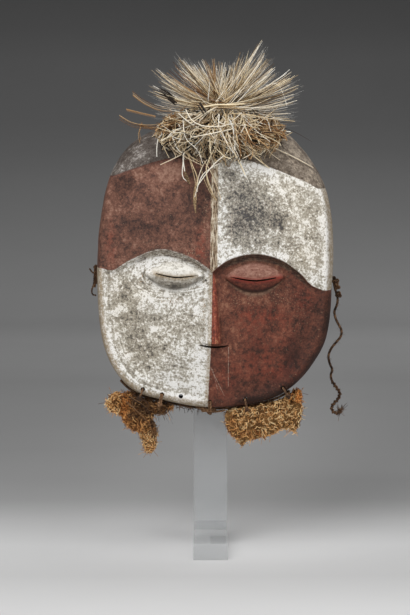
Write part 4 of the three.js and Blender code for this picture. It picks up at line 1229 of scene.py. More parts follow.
strawTuft = {
    "seed": 5, "focus": (13, -68, 522),
    # Locks that stand out: angle from +X in degrees, reach, spread in degrees, straws
    "locks": [
        (-11, 88, 2.5, 5), (-3, 82, 4, 6), (6, 86, 4, 6), (11, 93, 2, 4), (17, 88, 3, 7), (21, 92, 2, 6),
        (25, 90, 2, 6), (31, 74, 4, 9), (38, 72, 4, 10), (44, 77, 3, 9), (50, 79, 2.5, 8), (57, 86, 1.6, 7),
        (62, 68, 3, 8), (69, 63, 2, 8), (76, 50, 4, 9), (85, 47, 4, 9), (94, 50, 3, 9), (102, 53, 2.5, 9),
        (108, 50, 3, 8), (113, 54, 2, 8), (119, 58, 2.5, 9), (126, 65, 2.5, 9), (131, 74, 1.6, 7),
        (135, 75, 2, 6), (142, 66, 3, 8), (147, 74, 3, 7), (152, 90, 1.4, 9), (158, 78, 4, 8),
        (164, 84, 3, 6), (170, 86, 3, 6), (176, 78, 4, 7),
    ],
    "sag": 0.13, "lean": (-12, 26), "width": 0.62, "foremost": -86,
    # Share of the locks in each look
    "lockLooks": [("straw", 0.58), ("tangle", 0.34), ("brown", 0.08)],
    # Loose straws: how many, between which angles, share of the locks' reach, depth, spread of the roots
    "filler": (190, (-8, 186), (0.40, 0.80), (-20, 34), (7, 5, 3)),
    "backFan": (150, (-14, 190), (0.6, 0.95), (42, 92), (16, 6, 6)),
    "underFan": (130, (188, 352), (0.25, 0.72), (-8, 8), (7, 4, 3)),
    "haze": (420, (-16, 192), (0.82, 1.06), (-6, 60), (6, 6, 4)), "hazeWidth": 0.15,
    "mass": {"centre": (11, 491), "half": (71, 28), "middle": -42, "front": -74, "behind": -8},
    "massWays": {"thickness": 0.60, "low": 0.5, "high": 1.5, "thinning": 0.4},
    "core": {"centre": (11, -38, 495), "radii": (61, 28, 24)},
    # Straws of the mass: how many, their length, and how near the edge they keep
    "tangle": (820, (13, 44), 0.0), "ends": (260, (9, 24), 0.72), "behind": (340, (14, 44), 0.0),
    # Share of the mass's straws in each look, and how deep each layer lies; the near-black layer lies
    # deepest, as painted shade inside the mass
    "layers": [("dark", 0.27, 3.0), ("tangle", 0.52, 0.0), ("straw", 0.21, -3.0)],
    "brownPatches": [(-50, 510, 17, 20), (66, 494, 15, 12), (40, 486, 10, 8)],
    "binding": [
        [(-14, -73, 520), (0, -76, 521), (14, -78, 522), (26, -76, 521), (34, -72, 518)],
        [(-10, -74, 517), (6, -77, 520), (20, -78, 520), (36, -74, 521)],
        [(-16, -72, 523), (4, -76, 519), (18, -79, 519), (40, -73, 517)],
    ],
    # Single straws that lie over the mass or hang on the forehead
    "stalks": [
        [(-26, -66, 468), (-21, -75, 455), (-15, -79, 439), (-18, -80, 426)],
        [(-4, -72, 460), (-9, -76, 453), (-14, -79, 439), (-15, -80, 424)],
        [(-12, -72, 460), (-9, -77, 443), (-2, -80, 426), (5, -80, 415)],
        [(-5, -74, 453), (-4, -78, 437), (1, -80, 424), (7, -80, 414)],
        [(-30, -66, 473), (-31, -74, 460), (-29, -78, 446)],
        [(19, -74, 484), (29, -74, 469), (36, -76, 451), (43, -78, 435)],
        [(33, -70, 484), (47, -66, 466), (67, -60, 450)],
        [(58, -62, 480), (77, -52, 471), (98, -44, 461), (118, -34, 450)],
        [(56, -64, 482), (65, -60, 470), (79, -54, 459)],
        [(42, -66, 482), (51, -64, 468), (62, -62, 453)],
        [(-47, -62, 489), (-46, -68, 478), (-38, -72, 469), (-23, -76, 460), (-8, -78, 453)],
        [(-21, -68, 473), (-38, -68, 463), (-57, -62, 454)],
        [(-48, -60, 495), (-55, -64, 484), (-52, -66, 472), (-47, -66, 462)],
        [(-46, -56, 493), (-58, -58, 486), (-61, -60, 474), (-61, -60, 463)],
        [(-44, -60, 480), (-53, -64, 475), (-54, -64, 471)],
        [(13, -76, 522), (17, -80, 506), (15, -82, 495), (1, -82, 481), (-2, -78, 472)],
        [(-28, -74, 516), (-21, -79, 504), (-9, -83, 498), (5, -84, 497), (17, -83, 498)],
        [(-8, -80, 489), (5, -82, 484), (17, -82, 479), (26, -78, 472)],
        [(-17, -78, 490), (-9, -80, 474), (-6, -78, 462)],
        [(39, -76, 488), (58, -72, 504), (75, -62, 518)],
        [(12, -76, 522), (-4, -80, 513), (-23, -78, 500)],
        [(12, -78, 482), (15, -78, 469), (17, -80, 453)],
        [(-31, -74, 504), (-28, -78, 484), (-15, -78, 471), (-9, -80, 456)],
        [(62, -62, 543), (75, -60, 545), (82, -60, 534), (86, -60, 521)],
        [(20, -76, 512), (44, -76, 510), (66, -68, 506), (96, -52, 503)],
        [(-27, -72, 470), (-18, -79, 439), (-16, -81, 415)],
        [(10, -75, 456), (-9, -79, 443), (-18, -81, 418)],
        [(5, -75, 474), (-5, -79, 449), (3, -81, 421)], [(18, -75, 467), (2, -79, 453), (-14, -80, 432)],
        [(-13, -74, 467), (2, -80, 443), (12, -81, 415)], [(26, -74, 470), (39, -77, 443)],
        [(-30, -68, 467), (-32, -76, 443), (-27, -79, 436)],
    ],
    "flatHeads": [
        [(-29, -79, 447), (-27, -80, 440), (-23, -80, 432)],
        [(-17, -81, 433), (-18, -81, 417), (-17, -81, 400)],
    ],
    "headY": -0.080, "headFlat": 0.28,
    "stalkWays": {"low": 0.75, "high": 1.2, "thinning": 0.3},
    "arcWays": {"thickness": 0.34, "low": 0.5, "high": 1.2, "thinning": 0.4},
    "brownArcs": [
        [(-104, -40, 508), (-90, -46, 500), (-74, -54, 497), (-57, -62, 498), (-40, -70, 502)],
        [(-81, -46, 499), (-67, -54, 495), (-51, -62, 495)],
        [(-89, -40, 535), (-77, -48, 526), (-60, -58, 518), (-44, -66, 516)],
        [(-96, -40, 515), (-80, -50, 511), (-62, -60, 507)],
        [(-80, -20, 500), (-83, -26, 490), (-81, -30, 481)],
    ],
    "darkHair": [(80, -50, 497), (96, -46, 491), (116, -42, 480)],
    "feathers": [
        [(-42, -74, 528), (-50, -78, 535), (-58, -80, 539)],
        [(-40, -76, 524), (-48, -79, 530), (-56, -80, 533)],
        [(-13, -82, 522), (-10, -84, 518), (-6, -84, 512)], [(17, -68, 553), (21, -66, 557), (25, -64, 558)],
    ],
}
tuftFocus = np.array(strawTuft["focus"], float)


def archedStraw(rng, start, tip):
    t = np.linspace(0, 1, 7)[:, None]
    knee = (start + tip) / 2 + rng.normal(0, 1.6, 3)
    knee[2] -= strawTuft["sag"] * abs(tip[0] - start[0])
    return start * (1 - t) ** 2 + 2 * knee * t * (1 - t) + tip * t ** 2


# A fibre that kinks is broken, and its outer half turns off
def bentFibre(rng, start, direction, length, bend, kink=0.0, count=6):
    t = np.linspace(0, 1, count)[:, None]
    route = start + direction * length * t + rng.normal(0, bend, 3) * length * t * t
    if rng.random() < kink:
        half = count // 2
        route[half:] += rng.normal(0, 0.34, 3) * length * (t[half:] - t[half - 1])
    return route


def widthsOf(rng, count, low, high, thinning):
    widths = rng.uniform(low, high, count)
    return lambda k, t: widths[k] * (1 - thinning * t ** 1.6)


def fanTip(angle, reach, back):
    turn = math.radians(angle)
    return tuftFocus + (math.cos(turn) * reach, back, math.sin(turn) * reach - 0.1 * back)


def lockedStraws(rng):
    looks, shares = zip(*strawTuft["lockLooks"])
    byLook = {look: [] for look in looks}
    for angle, reach, spread, straws in strawTuft["locks"]:
        routes = byLook[rng.choice(looks, p=shares)]
        lean = rng.uniform(*strawTuft["lean"])
        root = tuftFocus + (rng.normal(0, 5), rng.uniform(0, 14), rng.normal(-1, 2.5))
        for _ in range(straws):
            tip = fanTip(angle + rng.normal(0, spread), reach * rng.uniform(0.80, 1.0),
                         lean + rng.normal(0, 6))
            start = root + rng.normal(0, 1, 3) * (2.4, 2, 1.4)
            routes.append(liftOff(archedStraw(rng, start, tip)))
    return byLook


def looseStraws(rng, count, angles, reach, back, rootSpread):
    locks = sorted((angle, length) for angle, length, _, _ in strawTuft["locks"])
    routes = []
    for _ in range(count):
        angle = rng.uniform(*angles)
        length = np.interp(angle, *zip(*locks)) * rng.uniform(*reach)
        lean = rng.uniform(*back)
        start = tuftFocus + rng.normal(0, 1, 3) * rootSpread + (0, 6 + max(0, lean) * 0.4, -2)
        routes.append(liftOff(archedStraw(rng, start, fanTip(angle, length, lean))))
    return routes


def massStraw(rng, length, inward, atEdge, behind):
    mass = strawTuft["mass"]
    turn, out = rng.uniform(0, 2 * math.pi), math.sqrt(rng.uniform(atEdge, 1))
    bulge = math.sqrt(max(0, 1 - 0.9 * out * out))
    depth = mass["middle"] + (mass["behind" if behind else "front"] - mass["middle"]) * bulge
    start = np.array([mass["centre"][0] + mass["half"][0] * out * math.cos(turn),
                      depth + (-inward if behind else inward) + rng.normal(0, 1.4),
                      mass["centre"][1] + mass["half"][1] * out * math.sin(turn)])
    away = math.atan2(start[2] - tuftFocus[2], start[0] - tuftFocus[0]) + rng.normal(0, 0.75)
    direction = unit(np.array([math.cos(away), rng.normal(0, 0.22), math.sin(away) - 0.2]))
    start -= direction * length * rng.uniform(0.2, 0.5)
    route = bentFibre(rng, start, direction, length, 0.22, 0.3)
    offset = (route[:, [0, 2]] - mass["centre"]) / mass["half"]
    away = np.linalg.norm(offset, axis=1)[:, None]
    offset *= np.where(away > 1, (1 + 0.3 * (away - 1)) / np.maximum(away, 1), 1)
    route[:, [0, 2]] = mass["centre"] + offset * mass["half"]
    return liftOff(route, 1.5)


def isBrown(rng, place):
    return any(((place[0] - x) / halfX) ** 2 + ((place[2] - z) / halfZ) ** 2 < rng.uniform(0.3, 1.7)
               for x, z, halfX, halfZ in strawTuft["brownPatches"])


# near-black lump inside the tuft: painted shade that keeps the gaps between the straws dark
def addTuftCore(centre, radii):
    bpy.ops.mesh.primitive_ico_sphere_add(subdivisions=5, radius=1)
    core = bpy.context.object
    places = placesOf(core)
    places *= 1 + 0.12 * unevenness(places[:, 0] + places[:, 1], places[:, 2], 0.16, 71)[:, None]
    setPlaces(core, (centre + places * radii) * mm)
    giveMaterial(core, fibreLooks["dark"])
    shadeSmooth(core)
    return core


def addFlatHeads():
    routes = [evenLine(points, 2) for points in strawTuft["flatHeads"]]
    heads = strandsFrom("tuft_heads", routes, 0.8, fibreLooks["tangle"],
                        lambda k, t: 0.8 + 1.7 * np.sin(math.pi * t) ** 1.5, 2)
    flat, headY = placesOf(heads), strawTuft["headY"]
    flat[:, 1] = headY + (flat[:, 1] - headY) * strawTuft["headFlat"]
    setPlaces(heads, flat)
    return heads


def addTuft():
    rng = np.random.default_rng(strawTuft["seed"])
    width, foremost = strawTuft["width"], strawTuft["foremost"]
    pieces = [addTuftCore(**strawTuft["core"])]

    def addStrands(name, routes, look, thickness=width, low=0.6, high=1.35, thinning=0.7):
        for route in routes:
            depth = route[:, 1]
            route[:, 1] = np.where(depth < foremost, foremost + (depth - foremost) * 0.2, depth)
        pieces.append(strandsFrom("tuft_" + name, routes, thickness, fibreLooks[look],
                                  widthsOf(rng, len(routes), low, high, thinning)))

    for look, routes in lockedStraws(rng).items():
        addStrands("locks_" + look, routes, look)
    filler = looseStraws(rng, *strawTuft["filler"])
    addStrands("filler", filler[::3], "straw")
    addStrands("deep_filler", filler[1::3] + filler[2::3], "tangle")
    addStrands("back_fan", looseStraws(rng, *strawTuft["backFan"]), "shaded")
    addStrands("under_fan", looseStraws(rng, *strawTuft["underFan"]), "straw")
    addStrands("haze", looseStraws(rng, *strawTuft["haze"]), "hair", strawTuft["hazeWidth"])
    byLook = {"brown": []}
    for look, share, inward in strawTuft["layers"]:
        byLook[look] = []
        for part in ("tangle", "ends", "behind"):
            count, length, atEdge = strawTuft[part]
            for _ in range(int(share * count)):
                route = massStraw(rng, rng.uniform(*length), inward, atEdge, part == "behind")
                brown = part == "tangle" and isBrown(rng, route[2])
                byLook["brown" if brown else look].append(route)
    for look, routes in byLook.items():
        addStrands("mass_" + look, routes, look, **strawTuft["massWays"])
    binding = [evenLine(points, 4) + rng.normal(0, 1.7, 3) for points in strawTuft["binding"]
               for _ in range(3)]
    addStrands("binding", binding, "tangle", thinning=0.2)
    stalks = [liftOff(evenLine(points, 4), 1.4) for points in strawTuft["stalks"]]
    addStrands("stalks", stalks[::3], "tangle", 0.66, **strawTuft["stalkWays"])
    addStrands("pale_stalks", stalks[1::3] + stalks[2::3], "straw", **strawTuft["stalkWays"])
    arcs = [evenLine(points, 4) + rng.normal(0, 1.5, 3) * (0.4, 1, 1) for points in strawTuft["brownArcs"]
            for _ in range(5)]
    addStrands("arcs", arcs, "brown", **strawTuft["arcWays"])
    addStrands("dark_hair", [evenLine(strawTuft["darkHair"], 4)], "dark", 0.35)
    feathers = [evenLine(points, 2) + offset for points in strawTuft["feathers"]
                for offset in rng.normal(0, 1.4, (11, 3))]
    addStrands("feathers", feathers, "dark", 0.6)
    pieces.append(addFlatHeads())
    return finishPiece(joinPieces("straw_tuft", pieces), "straw", "crown_tuft")


addTuft()
print("straw tuft made")


# the two fibre beards under the rim

beardShapes = [
    {"name": "left_beard", "node": "beard_left", "y": -39, "halfDepth": 11, "seed": 21,
     "outline": [(-121, 177), (-118, 184), (-111, 188), (-104, 187), (-96, 189), (-89, 187), (-81, 182),
                 (-70, 179), (-59, 176), (-50, 174), (-43, 173), (-48, 169), (-57, 166), (-66, 165),
                 (-69, 160), (-67, 152), (-64, 144), (-64, 134), (-64, 126), (-70, 119), (-77, 122),
                 (-79, 132), (-83, 143), (-93, 148), (-101, 156), (-104, 164), (-114, 166), (-119, 170)],
     "look": "coir", "fibres": 1820, "loose": 500, "length": (5, 13), "curl": 1.0, "thickness": 0.36,
     # Looks that take over in places: look, X, Z, half width, half height
     "zones": [("gold", -111, 177, 12, 12), ("gold", -73, 132, 10, 18), ("red", -100, 174, 6, 12),
               ("umber", -80, 177, 14, 10), ("umber", -60, 170, 14, 6), ("umber", -84, 163, 14, 5),
               ("umber", -66, 152, 4, 12)],
     "strands": [[(-99, -51, 181), (-92, -54, 176), (-86, -54, 170), (-80, -53, 164), (-73, -51, 156),
                  (-68, -49, 146), (-64, -47, 138)],
                 [(-94, -52, 186), (-86, -55, 181), (-78, -55, 176), (-71, -54, 168), (-69, -52, 158),
                  (-67, -50, 149)],
                 [(-90, -50, 189), (-83, -55, 184), (-76, -56, 182), (-72, -55, 176), (-76, -55, 169)]],
     "bristles": [[(-62, -46, 174), (-60, -50, 168), (-59, -52, 159)],
                  [(-60, -46, 172), (-54, -50, 167), (-47, -52, 155)],
                  [(-63, -44, 172), (-57, -48, 169), (-53, -50, 161)],
                  [(-58, -46, 174), (-50, -50, 170), (-44, -51, 160)],
                  [(-64, -46, 170), (-63, -50, 164), (-61, -50, 157)]]},
    {"name": "right_beard", "node": "beard_right", "y": -39, "halfDepth": 12, "seed": 22,
     "outline": [(18, 167), (26, 170), (41, 172), (57, 174), (72, 177), (86, 182), (95, 188), (102, 193),
                 (105, 189), (106, 176), (105, 163), (103, 152), (98, 143), (92, 148), (82, 147), (75, 143),
                 (67, 138), (54, 136), (43, 135), (36, 129), (29, 137), (22, 143), (18, 156)],
     "look": "gold", "fibres": 1780, "loose": 560, "length": (5, 12), "curl": 0.95, "thickness": 0.40,
     "zones": [("red", 100, 185, 8, 9), ("coir", 24, 150, 7, 14), ("coir", 50, 141, 20, 5)], "strands": [],
     "bristles": []},
]
beardRoom = {"belowRim": 1.6, "voxel": 1.3, "inset": 1.2, "uneven": 1.6, "roundness": 0.04}


def curlyFibre(rng, start, axis, length, curl, out):
    t = np.linspace(-0.5, 0.5, 11)[:, None]
    side = unit(np.cross(axis, out))
    turns = rng.uniform(0.9, 2.1) * 2 * math.pi * t + rng.uniform(0, 6.28)
    swing = curl * rng.uniform(0.6, 1.4)
    swirl = np.cos(turns) * side + np.sin(turns) * out * rng.uniform(0.4, 0.9)
    return start + axis * length * t + swing * swirl - out * (length * t) ** 2 * beardRoom["roundness"]


def skinPlaces(rng, piece, count):
    mesh = piece.data
    mesh.calc_loop_triangles()
    corners = np.empty(3 * len(mesh.loop_triangles), np.int32)
    mesh.loop_triangles.foreach_get("vertices", corners)
    first, second, third = (placesOf(piece) / mm)[corners.reshape(-1, 3)].transpose(1, 0, 2)
    across = np.cross(second - first, third - first)
    areas = np.linalg.norm(across, axis=1)
    pick = rng.choice(len(areas), count, p=areas / areas.sum())
    a, b = np.sqrt(rng.random(count))[:, None], rng.random(count)[:, None]
    return (first[pick] * (1 - a) + second[pick] * a * (1 - b) + third[pick] * a * b), unit(across[pick])


def belowRim(route):
    route[:, 2] = np.minimum(route[:, 2], heightOn(chinLine, route[:, 0]) - beardRoom["belowRim"])
    return route


def addBeardBed(beard):
    outline = np.array(beard["outline"], float)
    bpy.ops.mesh.primitive_circle_add(vertices=len(outline), radius=1, fill_type="NGON")
    bed = namedPiece(beard["name"] + "_bed")
    front = np.insert(outline, 1, beard["y"] - beard["halfDepth"], axis=1)
    setPlaces(bed, front * mm)
    inEditMode((bpy.ops.mesh.select_all, {"action": "SELECT"}),
               (bpy.ops.mesh.extrude_region_move,
                {"TRANSFORM_OT_translate": {"value": (0, 2 * beard["halfDepth"] * mm, 0)}}),
               (bpy.ops.mesh.select_all, {"action": "SELECT"}),
               (bpy.ops.mesh.normals_make_consistent, {"inside": False}))
    applyModifier(bed, "REMESH", mode="VOXEL", voxel_size=beardRoom["voxel"] * mm)
    applyModifier(bed, "SMOOTH", factor=0.8, iterations=10)
    places = placesOf(bed) / mm
    swell = unevenness(places[:, 0] + 0.6 * places[:, 1], places[:, 2], 4.5, 77)
    swell += 0.6 * unevenness(places[:, 0] - places[:, 1], places[:, 2], 2.2, 78)
    normals = np.empty(3 * len(bed.data.vertices), np.float32)
    bed.data.vertices.foreach_get("normal", normals)
    places += normals.reshape(-1, 3) * (swell[:, None] * beardRoom["uneven"] - beardRoom["inset"])
    setPlaces(bed, belowRim(places) * mm)
    giveMaterial(bed, fibreLooks[beard["look"] + "_bed"])
    shadeSmooth(bed)
    return bed


def addBeard(beard):
    rng = np.random.default_rng(beard["seed"])
    bed = addBeardBed(beard)
    byLook = {}
    for start, out in zip(*skinPlaces(rng, bed, beard["fibres"])):
        axis = unit(np.cross(out, rng.normal(0, 1, 3)) + (0, 0, -0.15) + out * rng.normal(0.05, 0.18))
        route = curlyFibre(rng, start + out * rng.uniform(-0.6, 1.5), axis, rng.uniform(*beard["length"]),
                           beard["curl"], out)
        look = beard["look"]
        for zone, x, z, halfX, halfZ in beard["zones"]:
            if ((start[0] - x) / halfX) ** 2 + ((start[2] - z) / halfZ) ** 2 < rng.uniform(0.6, 1.5):
                look = zone
        byLook.setdefault(look, []).append(belowRim(route))
    loose = []
    for start, out in zip(*skinPlaces(rng, bed, beard["loose"])):
        direction = unit(out + rng.normal(0, 0.7, 3) + (0, 0, -0.3))
        loose.append(belowRim(bentFibre(rng, start - out, direction, rng.uniform(2.5, 5.5), 0.7)))
    pieces = [bed, strandsFrom(beard["name"] + "_loose", loose, 0.2, fibreLooks[beard["look"]])]
    for look, routes in byLook.items():
        pieces.append(strandsFrom(f"{beard['name']}_{look}", routes, beard["thickness"], fibreLooks[look],
                                  widthsOf(rng, len(routes), 0.6, 1.25, 0.3)))
    if beard["strands"]:
        cords = [evenLine(points, 1.5) + offset for points in beard["strands"]
                 for offset in rng.normal(0, 0.8, (3, 3))]
        pieces.append(strandsFrom(beard["name"] + "_strands", cords, 0.34, fibreLooks["umber"]))
        bristles = [evenLine(points, 2) + rng.normal(0, 1.5, 3) for points in beard["bristles"]
                    for _ in range(2)]
        pieces.append(strandsFrom(beard["name"] + "_bristles", bristles, 0.24, fibreLooks["dark"],
                                  thinned(0.7)))
    return finishPiece(joinPieces(beard["name"], pieces), "coir", beard["node"])


chinLine = np.vstack([outlineSides["chinLeft"][::-1], outlineSides["chinRight"][1:]])
for beardShape in beardShapes:
    addBeard(beardShape)
print("beards made")


# lashings, rim cord and side ties

lashingShape = {
    "thread": 2.6, "beyondFace": 6.4, "behindRim": 3.6, "drop": 6.0, "lift": 0.1, "apart": 0.42,
    # Turns of thread through each hole, and their look
    "turns": [(1, cordMaterial), (2, brownThread), (2, brownThread), (1, brownThread), (1, cordMaterial)],
    "doubled": 0.82, "knot": 2.5, "knotDrop": 4.2, "knotThread": 0.9,
}
# What is tied in with the middle lashing: knots by place, size and tilt, cord ends and hairs
chinTangle = {
    "lashing": 3, "seed": 31,
    "knots": [((-8.5, -45, 171.4), 3.4, 0.2), ((3, -46, 169.8), 3.0, 1.1)], "knotThread": 1.15,
    "ends": [[(-17, -44, 174.2), (-12, -47, 172.6), (-5, -47, 170.4), (1, -46, 168.4), (9, -47, 168.2),
              (17, -46, 169.4)],
             [(-14, -44, 172.4), (-8, -47, 169.4), (0, -47, 167.6), (7, -46, 167.8), (12, -44, 169)]],
    "end": 2.6, "endThread": 0.75,
    "hairs": 90, "hairSpan": (-52, -8), "hairLength": (2.5, 6), "hair": 0.22,
}
rimCordShape = {"diameter": 3.2, "span": (-103, 98), "step": 6.7, "below": 2.3, "behind": 4, "pitch": 7}


def addThreadLoop(name, centre, sides, halves, diameter, look=cordMaterial, lean=0.0, aside=0.0):
    angle = np.linspace(0, 2 * math.pi, 57)[:-1]
    loop = sum(np.outer(half * np.sign(wave) * np.sqrt(np.abs(wave)), side)
               for half, wave, side in zip(halves, (np.cos(angle), np.sin(angle)), sides))
    loop = centre + loop * (1 + lean, 1, 1) + aside
    line = alongLine(np.vstack([loop, loop[:1]]), np.linspace(0, 1, 90))
    return addTwist(name, line, diameter, diameter * 0.29, look, closed=True)


def chinPieces():
    rng = np.random.default_rng(chinTangle["seed"])
    hairs = []
    for x in rng.uniform(*chinTangle["hairSpan"], chinTangle["hairs"]):
        point, inward = rimPlace(x)
        start = np.array([point[0], outlineDepth(point[1]) + rng.uniform(0, 6), point[1]])
        start[[0, 2]] -= inward * 2.0
        direction = unit(np.array([rng.normal(0, 0.8), rng.normal(-0.3, 0.3), -1]))
        hairs.append(bentFibre(rng, start, direction, rng.uniform(*chinTangle["hairLength"]), 0.6, count=5))
    pieces = [strandsFrom("chin_hairs", hairs, chinTangle["hair"], cordMaterial),
              addKnots("chin_knots", chinTangle["knots"], chinTangle["knotThread"], brownThread)]
    for points in chinTangle["ends"]:
        line = evenLine(points, 1.2, evenKnots=False)
        pieces.append(addTwist("chin_end", line, chinTangle["end"], chinTangle["endThread"], brownThread))
    return pieces


def addLashing(number, x, turns, look):
    name, depth = f"rim_lashing_{number}", np.array([0, 1.0, 0])
    point, inward = rimPlace(x)
    along = np.array([inward[0], 0, inward[1]])
    front = maskShape["faceDepth"] - lashingShape["beyondFace"]
    back = rimDepth(point[1]) + lashingShape["behindRim"]
    reach, drop = rimHoles["inward"] + lashingShape["lift"], lashingShape["drop"]
    centre = np.array([point[0], (front + back) / 2, point[1]]) + along * (reach - drop) / 2
    thread = lashingShape["thread"]
    aside = np.cross(along, depth) * thread * lashingShape["apart"]
    thickness, sides = (thread, [0]) if turns == 1 else (thread * lashingShape["doubled"], [-1, 1])
    pieces = [addThreadLoop(name, centre, (depth, along), ((back - front) / 2, (reach + drop) / 2),
                            thickness, look, 0.12 * side, aside * side) for side in sides]
    knotPlace = centre - along * lashingShape["knotDrop"]
    knotPlace[1] = front + 0.4
    pieces.append(addKnots("lashing_knot", [(knotPlace, lashingShape["knot"], 0.9 * number)],
                           lashingShape["knotThread"], look))
    if number == chinTangle["lashing"]:
        pieces += chinPieces()
    finishPiece(joinPieces(name, pieces), "cord", f"lashing_{number}")


def addRimCord():
    points = []
    for x in np.arange(*rimCordShape["span"], rimCordShape["step"]):
        point, inward = rimPlace(x)
        belowX, belowZ = point - inward * rimCordShape["below"]
        points.append((belowX, outlineDepth(point[1]) + rimCordShape["behind"], belowZ))
    line, diameter = evenLine(points, 1.2, evenKnots=False), rimCordShape["diameter"]
    piece = addTwist("rim_cord_twist", line, diameter, diameter / 4, plies=3, pitch=rimCordShape["pitch"])
    finishPiece(piece, "cord", "rim_cord")


def addSideTie(tie):
    name, centre = tie["name"], (tie["wallX"], tie["loopY"], tie["z"])
    pieces = [addThreadLoop(name + "_loop", centre, np.eye(3)[:2], tie["loopHalf"], tieThread["whole"]),
              addKnots(name + "_knot", [(tie["knot"], tie["knotSize"], tilt) for tilt in (0.3, 1.5)],
                       tieThread["knot"], cordMaterial)]
    for look, routes in ((cordMaterial, tie["bights"]), (brownThread, tie["bands"])):
        for route in routes:
            line = evenLine(route, 0.8, evenKnots=False)
            pieces.append(addTwist(name + "_end", line, tieThread["whole"], tieThread["ply"], look))
    finishPiece(joinPieces(name + "_tied", pieces), "cord", name)


for lashingNumber, (holeX, threadTurns) in enumerate(zip(rimHoles["x"], lashingShape["turns"]), start=1):
    addLashing(lashingNumber, holeX, *threadTurns)
addRimCord()
for sideTie in sideTies:
    addSideTie(sideTie)
print("lashings and ties made")


# the clear stand

# Each block: front, back, bottom, top and shade; the post's darker shade is painted shade, as the post stands
# less lit than the foot
standBlocks = {"foot": ((-80, 40, 0, 19), (0.70, 0.72, 0.73)),
               "post": ((-10, 10, 19.35, 481.5), (0.56, 0.58, 0.59))}
acrylic = {"width": 40, "bevel": 0.8, "alpha": 0.30, "ior": 1.49}


def makeAcrylic(name, shade):
    look = newLook(name)
    haze = noiseOf(objectPlace(), 240, 3)
    surfaceOf((*shade, 1), rangeOf(haze, 0.4, 0.7, 0.16, 0.30), haze, 0.05, 0.0002,
              Alpha=acrylic["alpha"], IOR=acrylic["ior"])
    return look


def addBlock(name):
    (front, back, bottom, top), shade = standBlocks[name]
    bpy.ops.mesh.primitive_cube_add(size=1, location=(0, (front + back) / 2 * mm, (bottom + top) / 2 * mm))
    block = namedPiece("clear_" + name)
    block.scale = (acrylic["width"] * mm, (back - front) * mm, (top - bottom) * mm)
    bpy.ops.object.transform_apply(location=True, rotation=True, scale=True)
    applyModifier(block, "BEVEL", width=acrylic["bevel"] * mm, segments=3, limit_method="ANGLE")
    giveMaterial(block, makeAcrylic(name + "_acrylic", shade))
    shadeSmooth(block, 40)
    finishPiece(block, "acrylic", "stand_" + name)


addBlock("foot")
addBlock("post")
print("stand made")


# floor, backdrop and soft studio light

studio = {
    # Metres
    "halfWidth": 9.0, "front": -3.4, "flatTo": 2.3, "bend": 1.2, "wallTop": 5.0,
    "ambient": 0.08,
    # Painted light pools, lighter places behind the foot that lift the mask's shadow there: strength, side,
    # half width, look-down and its half height
    "paintedLightPools": [(0.105, 0.018, 0.065, 0.185, 0.050), (0.75, 0.012, 0.070, 0.243, 0.014)],
    # How steeply the camera looks down on a line of the backdrop, and its grey there; the greys grade the
    # backdrop darker up the wall as painted light and shade in place of the lamps' fall-off
    "shades": [
        (0.070, 0.144), (0.108, 0.159), (0.151, 0.190), (0.194, 0.200), (0.238, 0.207), (0.281, 0.231),
        (0.332, 0.281), (0.384, 0.324), (0.442, 0.379), (0.502, 0.437), (0.561, 0.448), (0.621, 0.315),
        (0.681, 0.285), (0.726, 0.276), (0.772, 0.291), (0.802, 0.336), (0.833, 0.485), (0.871, 0.585),
        (0.917, 0.530), (0.970, 0.632),
    ],
    "lamps": [
        {"name": "key_lamp", "place": (-1.1, -1.9, 2.1), "aim": (0.0, 0.0, 0.34), "size": 1.9, "watts": 49},
        {"name": "side_lamp", "place": (1.7, -1.5, 1.2), "aim": (0.0, 0.0, 0.34), "size": 1.4, "watts": 14},
        {"name": "top_lamp", "place": (0.0, -0.4, 2.3), "aim": (0.0, -0.1, 0.0), "size": 1.6, "watts": 30},
        {"name": "rear_lamp", "place": (1.0, 2.3, 1.9), "aim": (0.0, 0.0, 0.34), "size": 1.5, "watts": 7},
    ],
}


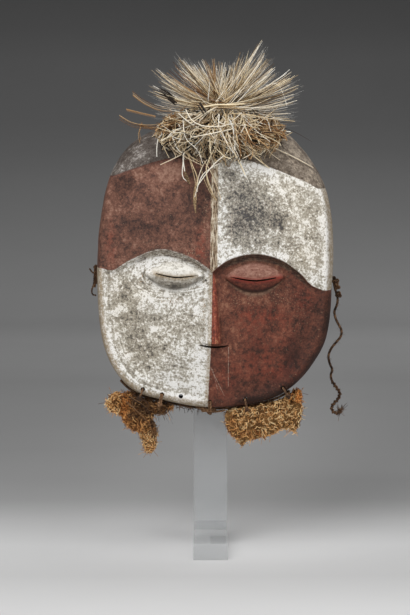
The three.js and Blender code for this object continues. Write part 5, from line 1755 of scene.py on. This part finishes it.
def addBackdrop():
    flatTo, bend = studio["flatTo"], studio["bend"]
    flat = np.concatenate([[studio["front"], -1.5, -1.0, -0.7], np.linspace(-0.5, 0.4, 19),
                           np.geomspace(0.45, flatTo, 24)])
    rows = [(y, 0.0) for y in flat]
    rows += [(flatTo + bend * math.sin(turn), bend * (1 - math.cos(turn)))
             for turn in np.linspace(0, math.pi / 2, 37)[1:]]
    rows.append((flatTo + bend, studio["wallTop"]))
    across = np.geomspace(0.05, studio["halfWidth"], 24)
    across = np.concatenate([-across[::-1], [0.0], across])
    backdrop = addGrid("studio_backdrop", np.array([[(x, y, z) for x in across] for y, z in rows[::-1]]) / mm)
    look = newLook("pale_backdrop")
    # backdrop grey by look-down: painted light and shade graded along the backdrop
    colour = rampOf(attributeOf("lookDown"), [(down, (grey,) * 3) for down, grey in studio["shades"]])
    cloud = rangeOf(noiseOf(objectPlace(), 3, 3), 0.3, 0.7, 0, 0.04)
    # painted light pools mixed toward white where the mask's shadow falls behind the foot
    colour = mixColours(attributeOf("glow"), mixColours(cloud, colour, (0.0, 0.0, 0.0)), (1.0, 1.0, 1.0))
    surfaceOf(colour, 0.9, Specular_IOR_Level=0.1)
    x, y, z = placesOf(backdrop).T
    away = np.maximum(y - photoView["place"][1], 0.3)
    down = (photoView["place"][2] - z) / away
    storeValue(backdrop, "glow", sum(
        strength * np.exp(-((x / away - side) / halfWidth) ** 2 - ((down - below) / halfHeight) ** 2)
        for strength, side, halfWidth, below, halfHeight in studio["paintedLightPools"]))
    storeValue(backdrop, "lookDown", np.clip((down + 0.1) / 0.4, 0, 1))
    giveMaterial(backdrop, look)
    shadeSmooth(backdrop)


def addLamps():
    for lamp in studio["lamps"]:
        bpy.ops.object.light_add(type="AREA", location=lamp["place"])
        light = namedPiece(lamp["name"])
        light.data.size = lamp["size"]
        light.data.energy = lamp["watts"]
        toward = np.array(lamp["aim"]) - np.array(lamp["place"])
        flat = math.hypot(toward[0], toward[1])
        light.rotation_euler = (math.atan2(flat, -toward[2]), 0, math.atan2(-toward[0], toward[1]))


def addWorld():
    world = bpy.data.worlds.new("studio_world")
    bpy.context.scene.world = world
    world.use_nodes = True
    background = world.node_tree.nodes["Background"]
    background.inputs["Color"].default_value = (1, 1, 1, 1)
    background.inputs["Strength"].default_value = studio["ambient"]
    bpy.context.scene.view_settings.view_transform = "Standard"


addBackdrop()
addLamps()
addWorld()
print("studio lit")
